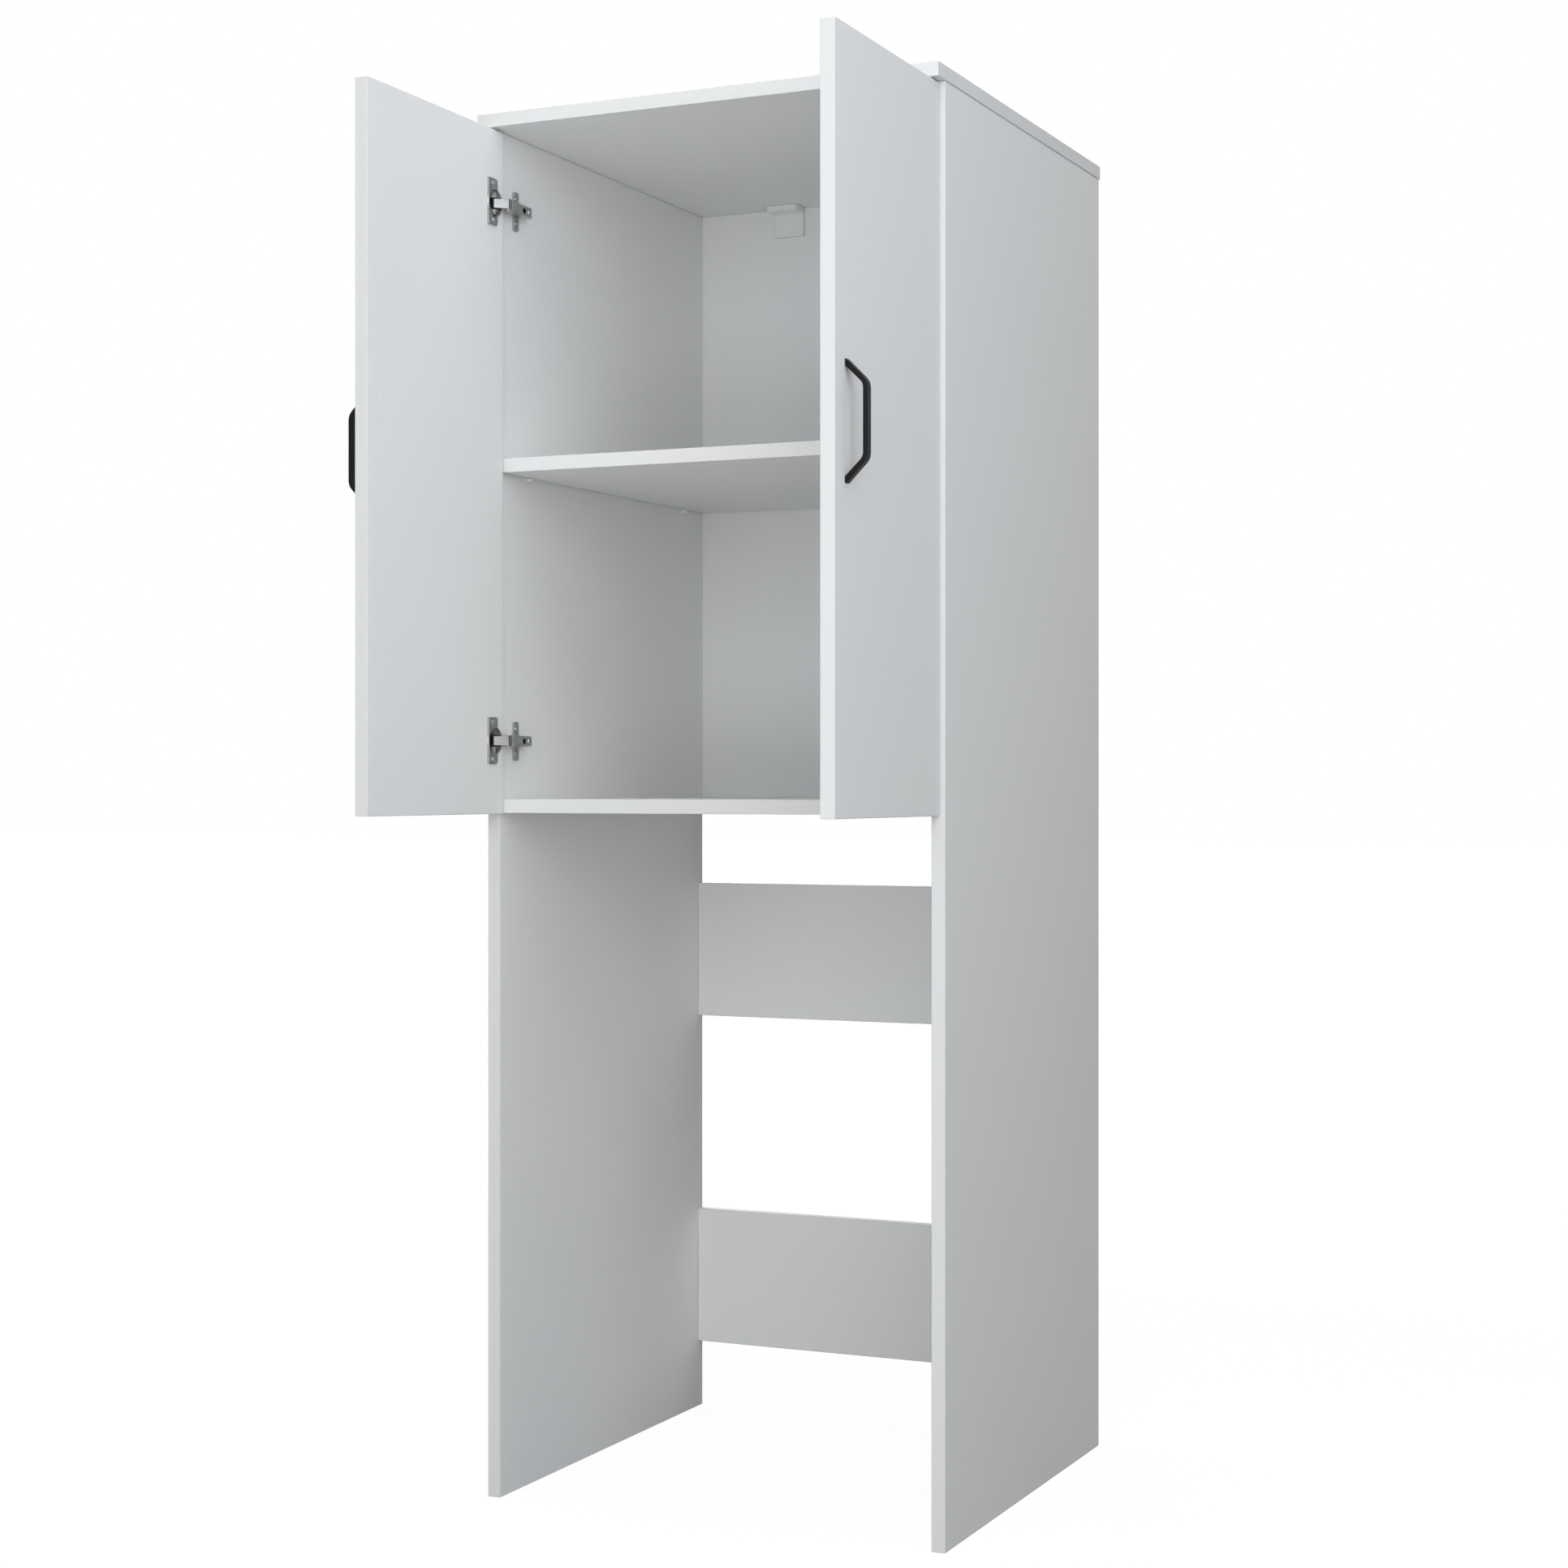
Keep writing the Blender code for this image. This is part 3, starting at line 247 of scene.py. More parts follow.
@dataclass
class Effects:
    """The shader node groups that several finishes share, each built once.

    Attributes:
        cloud_layers: the finer layers in the change of tone.
        cloud_mean: the mean of its noise.
        grain_layers: the finer layers in the embossing.
        wave_layers: the finer layers in the waves under it.
        wave_scale: how many waves there are to a grain.
        bevel_samples: how many rays look for an edge.
        edge_turn: the turns of the normal between which an edge appears.
        made: the groups built so far.
    """

    cloud_layers: float = 3.0
    cloud_mean: float = 0.5
    grain_layers: float = 4.0
    wave_layers: float = 1.0
    wave_scale: float = 0.05
    bevel_samples: int = 6
    edge_turn: tuple[float, float] = (0.02, 0.22)
    made: dict[str, bpy.types.NodeTree] = field(default_factory=dict)

    def group(
        self, name: str, inputs: dict[str, str], outputs: dict[str, str]
    ) -> tuple[Wiring, Sockets, Sockets]:
        """Starts a node group with its sockets.

        Args:
            name: the group's name.
            inputs: the kind of each input socket.
            outputs: the kind of each output socket.

        Returns:
            Its wiring, its inputs and its results' sockets.
        """
        tree = bpy.data.node_groups.new(name, "ShaderNodeTree")
        for socket, kind in inputs.items():
            tree.interface.new_socket(socket, in_out="INPUT", socket_type=kind)
        for socket, kind in outputs.items():
            tree.interface.new_socket(socket, in_out="OUTPUT", socket_type=kind)
        self.made[name] = tree
        wiring = Wiring(tree)
        given = wiring.node("NodeGroupInput").outputs
        taken = wiring.node("NodeGroupOutput").inputs
        return wiring, {n: given[n] for n in inputs}, {n: taken[n] for n in outputs}

    def place(self, wiring: Wiring, name: str, **values: object) -> Outputs:
        """Puts a group into a material with its own values.

        Args:
            wiring: the material's wiring.
            name: the effect's name, which is also its method's.
            values: the inputs.

        Returns:
            The group node's outputs.
        """
        if name not in self.made:
            getattr(self, name)()
        node = wiring.node("ShaderNodeGroup", node_tree=self.made[name])
        for socket, value in values.items():
            wiring.feed(node.inputs[socket.title()], value)
        return node.outputs

    def mottled(self) -> None:
        """Builds the slow, faint change of tone over a surface."""
        wiring, given, taken = self.group(
            "mottled",
            {"Colour": "NodeSocketColor", "Scale": "NodeSocketFloat", "Spread": "NodeSocketFloat"},
            {"Colour": "NodeSocketColor", "Mask": "NodeSocketFloat"},
        )
        cloud = wiring.noise(given["Scale"], self.cloud_layers)
        away = wiring.math("SUBTRACT", cloud, self.cloud_mean)
        tone = wiring.math("ADD", wiring.math("MULTIPLY", away, given["Spread"]), 1.0)
        grey = wiring.node("ShaderNodeCombineColor")
        for socket in grey.inputs:
            wiring.feed(socket, tone)
        wiring.feed(taken["Colour"], wiring.mix(1.0, given["Colour"], grey.outputs[0], "MULTIPLY"))
        wiring.feed(taken["Mask"], cloud)

    def pearl(self) -> None:
        """Builds the fine embossing of a printed or moulded surface, as a height."""
        wiring, given, taken = self.group(
            "pearl",
            {"Scale": "NodeSocketFloat", "Waviness": "NodeSocketFloat"},
            {"Height": "NodeSocketFloat"},
        )
        fine = wiring.noise(given["Scale"], self.grain_layers)
        slow = wiring.noise(wiring.math("MULTIPLY", given["Scale"], self.wave_scale), self.wave_layers)
        wave = wiring.math("MULTIPLY", slow, given["Waviness"])
        wiring.feed(taken["Height"], wiring.math("ADD", fine, wave))

    def softened(self) -> None:
        """Builds rounded edges: a normal that turns over an edge, and a mask along it."""
        wiring, given, taken = self.group(
            "softened",
            {"Radius": "NodeSocketFloat"},
            {"Normal": "NodeSocketVector", "Edge": "NodeSocketFloat"},
        )
        bevel = wiring.node("ShaderNodeBevel", samples=self.bevel_samples)
        wiring.feed(bevel.inputs["Radius"], given["Radius"])
        flat = wiring.node("ShaderNodeNewGeometry").outputs["Normal"]
        along = wiring.vector("DOT_PRODUCT", bevel.outputs[0], flat)["Value"]
        turned = wiring.math("SUBTRACT", 1.0, along)
        wiring.feed(taken["Normal"], bevel.outputs[0])
        wiring.feed(taken["Edge"], wiring.ramp(turned, *self.edge_turn, 0.0, 1.0))

    def edging(self) -> None:
        """Builds the glued edge band of a board, as masks of the band and of its joint."""
        wiring, given, taken = self.group(
            "edging",
            {
                "Low": "NodeSocketVector",
                "High": "NodeSocketVector",
                "Thin": "NodeSocketVector",
                "Band": "NodeSocketFloat",
                "Joint": "NodeSocketFloat",
            },
            {"Band": "NodeSocketFloat", "Joint": "NodeSocketFloat"},
        )
        place = wiring.node("ShaderNodeTexCoord").outputs["Object"]
        from_low = wiring.vector("SUBTRACT", place, given["Low"])["Vector"]
        from_high = wiring.vector("SUBTRACT", given["High"], place)["Vector"]
        nearest = wiring.vector("MINIMUM", from_low, from_high)["Vector"]
        parts = wiring.node("ShaderNodeSeparateXYZ")
        wiring.feed(parts.inputs[0], wiring.vector("ADD", nearest, given["Thin"])["Vector"])
        level = wiring.math("MINIMUM", parts.outputs[0], parts.outputs[1])
        inset = wiring.math("MINIMUM", level, parts.outputs[2])
        wiring.feed(taken["Band"], wiring.math("LESS_THAN", inset, given["Band"]))
        away = wiring.math("ABSOLUTE", wiring.math("SUBTRACT", inset, given["Band"]))
        wiring.feed(taken["Joint"], wiring.math("LESS_THAN", away, given["Joint"]))


EFFECTS = Effects()


# Finishes

@dataclass(frozen=True)
class Finish:
    """A surface finish.

    Attributes:
        name: the material's name.
        colour: its base colour.
        roughness: its mean roughness.
        mottle: how much its tone changes over the surface.
        blotches: how many changes of tone there are to a metre.
        gloss: the level of its mirrored light.
        slot: the record's slot, where the name isn't one.
        swing: how far the roughness goes to either side of its mean.
        clouds: the part of the tone's mask over which it does.
        embossing: how many grains there are to a metre, and how wavy they lie.
        grain: the depth of the relief.
    """

    name: str
    colour: Colour
    roughness: float
    mottle: float
    blotches: float
    gloss: float = 0.5
    slot: str = ""
    swing: float = 0.05
    clouds: tuple[float, float] = (0.3, 0.7)
    embossing: tuple[float, float] = (1800.0, 1.0)
    grain: float = 0.00001

    def start(self, name: str) -> tuple[Material, Wiring, Node]:
        """A new material with its shader.

        Args:
            name: the material's name.

        Returns:
            The material, its wiring and its Principled BSDF.
        """
        material = bpy.data.materials.new(name)
        material.use_nodes = True
        material.diffuse_color = (*self.colour, 1.0)
        shader = material.node_tree.nodes["Principled BSDF"]
        shader.inputs["Roughness"].default_value = self.roughness
        shader.inputs["Specular IOR Level"].default_value = self.gloss
        return material, Wiring(material.node_tree), shader

    def tone(self, wiring: Wiring) -> Outputs:
        """The mottled colour's outputs."""
        colour = (*self.colour, 1.0)
        return EFFECTS.place(wiring, "mottled", colour=colour, scale=self.blotches, spread=self.mottle)

    def relief(self, wiring: Wiring, shader: Node, height: Socket, normal: Socket | None = None) -> None:
        """Gives the surface a fine relief.

        Args:
            wiring: the material's wiring.
            shader: its Principled BSDF.
            height: the height's socket, 0 to 1.
            normal: the normal that it starts from, if any.
        """
        bump = wiring.node("ShaderNodeBump")
        bump.inputs["Strength"].default_value = 1.0
        bump.inputs["Distance"].default_value = self.grain
        wiring.feed(bump.inputs["Height"], height)
        if normal is not None:
            wiring.feed(bump.inputs["Normal"], normal)
        wiring.feed(shader.inputs["Normal"], bump.outputs[0])

    def surface(self, wiring: Wiring, shader: Node, mask: Socket, normal: Socket | None = None) -> None:
        """Lets the roughness follow a mask and embosses the surface.

        Args:
            wiring: the material's wiring.
            shader: its Principled BSDF.
            mask: a value between 0 and 1.
            normal: the normal that the embossing starts from, if any.
        """
        smooth, rough = self.roughness - self.swing, self.roughness + self.swing
        wiring.feed(shader.inputs["Roughness"], wiring.ramp(mask, *self.clouds, smooth, rough))
        scale, waviness = self.embossing
        pearl = EFFECTS.place(wiring, "pearl", scale=scale, waviness=waviness)
        self.relief(wiring, shader, pearl["Height"], normal)


@dataclass(frozen=True)
class Melamine(Finish):
    """White melamine on chipboard, with glued edge bands.

    Attributes:
        band: the edge band's thickness.
        band_tone: how light it is beside the board's faces.
        joint: half the width of the joint beside it.
        glue_tone: how light the joint's glue is beside the board's faces.
        glue_share: how much of the glue shows.
    """

    swing: float = 0.04
    embossing: tuple[float, float] = (900.0, 1.5)
    grain: float = 0.00002
    band: float = 0.0008
    band_tone: float = 0.92
    joint: float = 0.0001
    glue_tone: float = 0.5
    glue_share: float = 0.35

    def on_board(self, node: str) -> Material:
        """The finish for one board, whose edge bands lie where the board ends.

        Args:
            node: the board's node.

        Returns:
            The board's material.
        """
        low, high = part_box(node)
        size = high - low
        thin = min(range(3), key=lambda axis: size[axis])
        far = Vector([1.0 if axis == thin else 0.0 for axis in range(3)])
        material, wiring, shader = self.start(f"{self.name}_{node}")
        edging = EFFECTS.place(
            wiring, "edging", low=low, high=high, thin=far, band=self.band, joint=self.joint
        )
        tone = self.tone(wiring)
        band = [value * self.band_tone for value in self.colour]
        glue = [value * self.glue_tone for value in self.colour]
        banded = wiring.mix(edging["Band"], tone["Colour"], band)
        glued = wiring.math("MULTIPLY", edging["Joint"], self.glue_share)
        wiring.feed(shader.inputs["Base Color"], wiring.mix(glued, banded, glue))
        self.surface(wiring, shader, tone["Mask"])
        return material


@dataclass(frozen=True)
class Hardboard(Finish):
    """Thin hardboard, painted on the side that faces into the cupboard and bare behind.

    Attributes:
        bare: the colour of its bare fibres.
        fibres: how many there are to a metre, and how much their tone changes.
        stains: the same for the slow change of tone over them.
        behind: how far a bare face looks back.
    """

    embossing: tuple[float, float] = (700.0, 2.0)
    grain: float = 0.00004
    bare: Colour = (0.40, 0.28, 0.18)
    fibres: tuple[float, float] = (420.0, 0.9)
    stains: tuple[float, float] = (14.0, 0.25)
    behind: float = 0.5

    @cache
    def material(self) -> Material:
        """Builds the material, once for each finish.

        Returns:
            The material.
        """
        material, wiring, shader = self.start(self.name)
        tone = self.tone(wiring)
        bare = (*self.bare, 1.0)
        for scale, spread in (self.fibres, self.stains):
            bare = EFFECTS.place(wiring, "mottled", colour=bare, scale=scale, spread=spread)["Colour"]
        look = wiring.node("ShaderNodeSeparateXYZ")
        wiring.feed(look.inputs[0], wiring.node("ShaderNodeTexCoord").outputs["Normal"])
        behind = wiring.math("GREATER_THAN", look.outputs["Y"], self.behind)
        wiring.feed(shader.inputs["Base Color"], wiring.mix(behind, tone["Colour"], bare))
        self.surface(wiring, shader, tone["Mask"])
        return material


@dataclass(frozen=True, kw_only=True)
class Coating(Finish):
    """Lacquer or moulded plastic.

    Attributes:
        edge: the colour along its edges.
        worn: how much of that colour shows.
        rounding: the radius to which its edges look rounded.
        metallic: 1 for metal and 0 for all else.
    """

    swing: float = 0.04
    edge: Colour
    worn: float = 0.3
    rounding: float = 0.0003
    metallic: float = 0.0

    @cache
    def material(self) -> Material:
        """Builds the material, once for each finish.

        Returns:
            The material.
        """
        material, wiring, shader = self.start(self.name)
        shader.inputs["Metallic"].default_value = self.metallic
        tone = self.tone(wiring)
        soft = EFFECTS.place(wiring, "softened", radius=self.rounding)
        worn = wiring.math("MULTIPLY", soft["Edge"], self.worn)
        wiring.feed(shader.inputs["Base Color"], wiring.mix(worn, tone["Colour"], self.edge))
        self.surface(wiring, shader, tone["Mask"], soft["Normal"])
        return material


@dataclass(frozen=True, kw_only=True)
class Metal(Coating):
    """Plated or cast metal."""

    swing: float = 0.05
    embossing: tuple[float, float] = (2500.0, 3.0)
    grain: float = 0.000004
    worn: float = 0.6
    metallic: float = 1.0


@dataclass(frozen=True)
class Wood(Finish):
    """Turned beech with its short dark flecks.

    Attributes:
        fleck: the colour of the flecks.
        share: how much of it shows.
        scale: how many flecks there are to a metre.
        layers: their finer layers.
        stretch: factors on the three coordinates.
        limits: the noise between which a fleck appears.
    """

    grain: float = 0.00002
    fleck: Colour = (0.30, 0.17, 0.08)
    share: float = 0.8
    scale: float = 1500.0
    layers: float = 2.0
    stretch: Place = (0.12, 1.0, 0.12)
    limits: tuple[float, float] = (0.55, 0.75)

    @cache
    def material(self) -> Material:
        """Builds the material, once for each finish.

        Returns:
            The material.
        """
        material, wiring, shader = self.start(self.name)
        tone = self.tone(wiring)
        flecks = wiring.noise(self.scale, self.layers, Vector(self.stretch))
        share = wiring.ramp(flecks, *self.limits, 0.0, self.share)
        wiring.feed(shader.inputs["Base Color"], wiring.mix(share, tone["Colour"], self.fleck))
        self.relief(wiring, shader, flecks)
        return material


WHITE_BOARD = Melamine("white_board", (0.874, 0.880, 0.886), 0.50, 0.012, 7.0, gloss=0.08)
WHITE_BACK = Hardboard("white_hardboard", (0.870, 0.876, 0.882), 0.55, 0.012, 7.0, gloss=0.08)
NICKEL = Metal("nickel_plate", (0.50, 0.50, 0.49), 0.30, 0.06, 60.0, edge=(0.74, 0.75, 0.75))
BRIGHT_NICKEL = Metal("bright_nickel", (0.45, 0.475, 0.50), 0.34, 0.03, 60.0, edge=(0.80, 0.82, 0.84))
# A darker copy of the bright nickel for the outer links and their webs: painted shade that tones down the
# light they mirror.
SHADED_LINK_NICKEL = Metal(
    "link_nickel", (0.222, 0.222, 0.217), 0.34, 0.06, 60.0, slot="bright_nickel", edge=(0.32, 0.32, 0.31)
)
# A darker, rougher copy of the nickel, which paints the shade inside the cups.
SHADED_CUP_NICKEL = Metal("nickel_plate_inside", (0.20, 0.20, 0.195), 0.50, 0.10, 60.0, edge=(0.30, 0.30, 0.30))
ZINC = Metal("cast_zinc", (0.50, 0.50, 0.49), 0.42, 0.10, 90.0, grain=0.000012, edge=(0.70, 0.70, 0.69))
# Black lacquer for the handles. The hinges' depth cams take it as painted shade.
BLACK = Coating(
    "black_lacquer", (0.011, 0.0108, 0.0105), 0.48, 0.10, 40.0, gloss=0.09, edge=(0.022, 0.022, 0.022)
)
WHITE_PLASTIC = Coating(
    "white_plastic", (0.874, 0.880, 0.880), 0.46, 0.012, 20.0, gloss=0.12, edge=(0.89, 0.895, 0.90)
)
BEECH = Wood("beech", (0.50, 0.34, 0.19), 0.60, 0.10, 50.0)

Plain = Hardboard | Coating | Wood


# Pieces

def added(name: str, data: bpy.types.ID) -> bpy.types.Object:
    """Puts an object into the scene.

    Args:
        name: its name.
        data: its mesh, light or camera.

    Returns:
        The object.
    """
    made = bpy.data.objects.new(name, data)
    bpy.context.scene.collection.objects.link(made)
    return made


def lathe(profile: Profile, steps: int) -> bmesh.types.BMesh:
    """Turns a profile about +Z.

    Args:
        profile: (radius, height) points from the top to the foot. A radius of zero ends on the axis.
        steps: how many facets there are round it.

    Returns:
        The turned solid.
    """
    work = bmesh.new()
    angles = [math.tau * step / steps for step in range(steps)]
    rings = []
    for radius, height in profile:
        if radius == 0.0:
            rings.append([work.verts.new((0.0, 0.0, height))])
            continue
        rings.append([work.verts.new((radius * math.cos(a), radius * math.sin(a), height)) for a in angles])
    for upper, lower in zip(rings, rings[1:]):
        for step in range(steps):
            after = (step + 1) % steps
            corners = [lower[step % len(lower)], lower[after % len(lower)]]
            corners += [upper[after % len(upper)], upper[step % len(upper)]]
            work.faces.new(list(dict.fromkeys(corners)))
    bmesh.ops.recalc_face_normals(work, faces=work.faces)
    return work


def rounded(profile: Profile, corner: int, radius: float, steps: int = 4) -> Profile:
    """Rounds one corner of a profile.

    Args:
        profile: the points.
        corner: which point to round.
        radius: how far the round reaches along both sides.
        steps: its facets.

    Returns:
        The profile with the round in the corner's place.
    """
    here = Vector(profile[corner])
    before = (Vector(profile[corner - 1]) - here).normalized() * radius
    after = (Vector(profile[corner + 1]) - here).normalized() * radius
    curve = []
    for step in range(steps + 1):
        share = step / steps
        curve.append(tuple(here + before * (1 - share) ** 2 + after * share ** 2))
    return profile[:corner] + curve + profile[corner + 1:]


def mesh_of(work: bmesh.types.BMesh, name: str) -> Mesh:
    """A smooth mesh of a bmesh, which is freed.

    Args:
        work: the bmesh.
        name: the mesh's name.

    Returns:
        The mesh.
    """
    mesh = bpy.data.meshes.new(name)
    work.to_mesh(mesh)
    work.free()
    mesh.shade_smooth()
    mesh.set_sharp_from_angle(angle=SHARP)
    return mesh


def shown(name: str, mesh: Mesh, finish: Plain, body: str, place: Matrix = HERE) -> bpy.types.Object:
    """Adds one piece of the cabinet.

    Args:
        name: the piece's name.
        mesh: its mesh.
        finish: its finish.
        body: the body that it rides on.
        place: its place.

    Returns:
        The piece.
    """
    made = added(name, mesh)
    if not mesh.materials:
        mesh.materials.append(finish.material())
    made.matrix_world = place
    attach(made, body)
    finish.slot or finish.name
    return made


def dress(node: str, material: Material) -> None:
    """Gives a CAD node its material.

    Args:
        node: the node's name.
        material: the material.
    """
    piece = frame["nodes"][node]
    if not piece.material_slots:
        piece.data.materials.append(material)
    for slot in piece.material_slots:
        slot.material = material


def smoothed(node: str, suffix: str, finish: Plain, narrow: float = 1.0) -> bpy.types.Object:
    """Puts a smooth piece in a small CAD node's place.

    Args:
        node: the node's name.
        suffix: what kind of piece it is, for its name.
        finish: its finish.
        narrow: how high it stays about its own middle.

    Returns:
        The piece.
    """
    source = frame["nodes"][node]
    work = bmesh.new()
    work.from_mesh(source.data)
    bmesh.ops.remove_doubles(work, verts=work.verts, dist=WELD)
    bmesh.ops.dissolve_limit(work, angle_limit=FLAT, verts=work.verts, edges=work.edges)
    low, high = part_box(node)
    middle = (low.z + high.z) / 2
    for vertex in work.verts:
        vertex.co.z = middle + (vertex.co.z - middle) * narrow
    mesh = mesh_of(work, f"{node}_{suffix}")
    mesh.materials.clear()
    made = shown(f"{node}_{suffix}", mesh, finish, source["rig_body"])
    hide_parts(node)
    return made


def carved(body: Mesh, cutter: Mesh) -> Mesh:
    """Cuts one mesh out of another. Both are used up.

    Args:
        body: what is cut.
        cutter: what is taken away.

    Returns:
        The mesh that is left.
    """
    held, tool = added("held", body), added("tool", cutter)
    boolean = held.modifiers.new("cut", "BOOLEAN")
    boolean.object = tool
    boolean.operation = "DIFFERENCE"
    boolean.use_self = True
    bpy.context.view_layer.update()
    graph = bpy.context.evaluated_depsgraph_get()
    result = bpy.data.meshes.new_from_object(held.evaluated_get(graph))
    for helper, used in ((held, body), (tool, cutter)):
        bpy.data.objects.remove(helper, do_unlink=True)
        bpy.data.meshes.remove(used)
    result.shade_smooth()
    result.set_sharp_from_angle(angle=SHARP)
    return result


def facing(place: Vector, direction: Vector, turn: float = 0.0) -> Matrix:
    """The matrix of a point whose +Z looks along a direction, with a turn about it."""
    look = direction.to_track_quat("Z", "Y").to_matrix().to_4x4()
    return Matrix.Translation(place) @ look @ Matrix.Rotation(turn, 4, "Z")


@dataclass(frozen=True)
class Screw:
    """A screw or nail, head up along +Z with its seat at zero.

    Attributes:
        head: the head's radius.
        rise: how high the head stands.
        shank: the shank's radius.
        length: how far the shank reaches below the seat.
        drive: how it is driven.
        dome: whether the head is domed.
        steps: the facets round it.
        dome_side: the height of a domed head's side, as a share of its rise.
        dome_steps: the facets up the dome.
        flat_side: the height of a flat head's side, likewise.
        flat_top: the radius of its top, as a share of the head's.
        recess: half the cross's length and width, as shares of the head's radius.
        recess_depth: its depth, as a share of the rise.
    """

    head: float
    rise: float
    shank: float
    length: float
    drive: Drive = Drive.CROSS
    dome: bool = True
    steps: int = 40
    dome_side: float = 0.45
    dome_steps: int = 6
    flat_side: float = 0.85
    flat_top: float = 0.88
    recess: tuple[float, float] = (0.62, 0.20)
    recess_depth: float = 0.75

    def mesh(self, name: str) -> Mesh:
        """Builds the screw.

        Args:
            name: the mesh's name.

        Returns:
            Its mesh, with the recess cut if it has one.
        """
        profile = [(0.0, self.rise)]
        if self.dome:
            side = self.rise * self.dome_side
            for step in range(1, self.dome_steps + 1):
                angle = step / self.dome_steps * math.pi / 2
                profile.append((self.head * math.sin(angle), side + (self.rise - side) * math.cos(angle)))
        else:
            profile += [(self.head * self.flat_top, self.rise), (self.head, self.rise * self.flat_side)]
        profile += [(self.head, 0.0), (self.shank, 0.0), (self.shank, -self.length), (0.0, -self.length)]
        body = mesh_of(lathe(profile, self.steps), name)
        if self.drive is Drive.PLAIN:
            return body
        return carved(body, self.cross())

    def cross(self) -> Mesh:
        """The cutter of the head's recess.

        Returns:
            Two crossed blades.
        """
        work = bmesh.new()
        reach, blade = (self.head * share for share in self.recess)
        size = Matrix.Diagonal((reach * 2, blade * 2, self.rise * self.recess_depth * 2, 1.0))
        for turn in (0.0, math.pi / 2):
            place = Matrix.Translation((0.0, 0.0, self.rise)) @ Matrix.Rotation(turn, 4, "Z") @ size
            bmesh.ops.create_cube(work, size=1.0, matrix=place)
        return mesh_of(work, "recess")


# The cabinet

@dataclass
class Carcass:
    """The boards and the back panel, with the nails that hold the panel.

    Attributes:
        boards: the white boards' nodes.
        nail_head: the radius of a nail's head.
        nail_rise: how far a head stands proud.
        nail_shank: the radius of a nail's shank.
        nail_facets: the facets round a nail.
        nail_step: about how far apart the nails are.
        nail_inset: how far the nails are from the panel's edge.
    """

    boards: tuple[str, ...] = (
        "left_side_panel", "right_side_panel", "top_board", "cabinet_floor", "shelf",
        "upper_back_rail", "lower_back_rail",
    )
    nail_head: float = 0.0021
    nail_rise: float = 0.00025
    nail_shank: float = 0.00084
    nail_facets: int = 20
    nail_step: float = 0.110
    nail_inset: float = 0.008

    def build(self) -> None:
        """Dresses the boards and drives the nails."""
        for node in self.boards:
            dress(node, WHITE_BOARD.on_board(node))
        dress("back_panel", WHITE_BACK.material())
        self.nails()

    def nails(self) -> None:
        """Nails round the back panel, into the sides' and the cabinet floor's back edges."""
        low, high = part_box("back_panel")
        thick = high.y - low.y
        nail = Screw(
            self.nail_head, self.nail_rise, self.nail_shank, thick, Drive.PLAIN, False, self.nail_facets
        )
        mesh = nail.mesh("panel_nail")
        left, right = low.x + self.nail_inset, high.x - self.nail_inset
        foot, top = low.z + self.nail_inset, high.z - self.nail_inset
        rows = max(2, round((top - foot) / self.nail_step))
        files = max(2, round((right - left) / self.nail_step))
        places = [(x, foot + (top - foot) * step / rows) for step in range(rows + 1) for x in (left, right)]
        places += [(left + (right - left) * step / files, foot) for step in range(1, files)]
        for number, (x, z) in enumerate(places, 1):
            where = facing(Vector((x, high.y, z)), Vector((0, 1, 0)))
            shown(f"panel_nail_{number:02d}", mesh, NICKEL, "cabinet", where)


@dataclass
class Fittings:
    """The dowels, cams, shelf pins and corner brackets.

    Attributes:
        places: the words for the front and the rear one of a pair.
    """

    places: tuple[str, str] = ("front", "rear")

    def build(self) -> None:
        """Dresses every fitting."""
        for side in Side:
            for place in self.places:
                smoothed(f"{side.word}_top_dowel_{place}", "turning", BEECH)
                smoothed(f"{side.word}_floor_cam_{place}", "casting", ZINC)
                smoothed(f"{side.word}_shelf_pin_{place}", "moulding", WHITE_PLASTIC)
            for tier in Tier:
                smoothed(f"{side.word}_{tier.value}_rail_dowel", "turning", BEECH)
                smoothed(f"{side.word}_{tier.value}_rail_cam", "casting", ZINC)
            smoothed(f"{side.word}_corner_bracket", "moulding", WHITE_PLASTIC)


@dataclass
class Door:
    """A door with its handle, the handle's screws and the caps over them.

    Attributes:
        side: which door it is.
        cap_radius: a cap's radius.
        cap_rise: how far a cap stands off the door.
        cap_round: how far its rim is rounded.
        cap_facets: the facets round it.
    """

    side: Side
    cap_radius: float = 0.0058
    cap_rise: float = 0.0003
    cap_round: float = 0.00024
    cap_facets: int = 48

    def build(self) -> None:
        """Dresses the door and adds the caps."""
        word = self.side.word
        dress(f"{word}_door", WHITE_BOARD.on_board(f"{word}_door"))
        smoothed(f"{word}_handle", "bar", BLACK)
        for tier in Tier:
            node = f"{word}_handle_screw_{tier.value}"
            smoothed(node, "turning", NICKEL)
            self.cap(node, tier)

    def cap(self, screw: str, tier: Tier) -> None:
        """A white cap over one handle screw.

        Args:
            screw: the screw's node.
            tier: which screw it is.
        """
        low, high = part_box(screw)
        middle = (low + high) / 2
        inward = Vector((-self.side.value, 0, 0))
        middle.x = high.x if self.side is Side.LEFT else low.x
        rim, rise = self.cap_radius, self.cap_rise
        profile = rounded([(0.0, rise), (rim, rise), (rim, 0.0), (0.0, 0.0)], 1, self.cap_round)
        mesh = mesh_of(lathe(profile, self.cap_facets), "screw_cap")
        name = f"{self.side.word}_{tier.value}_screw_cap"
        shown(name, mesh, WHITE_PLASTIC, f"{self.side.word}_door", facing(middle, inward))


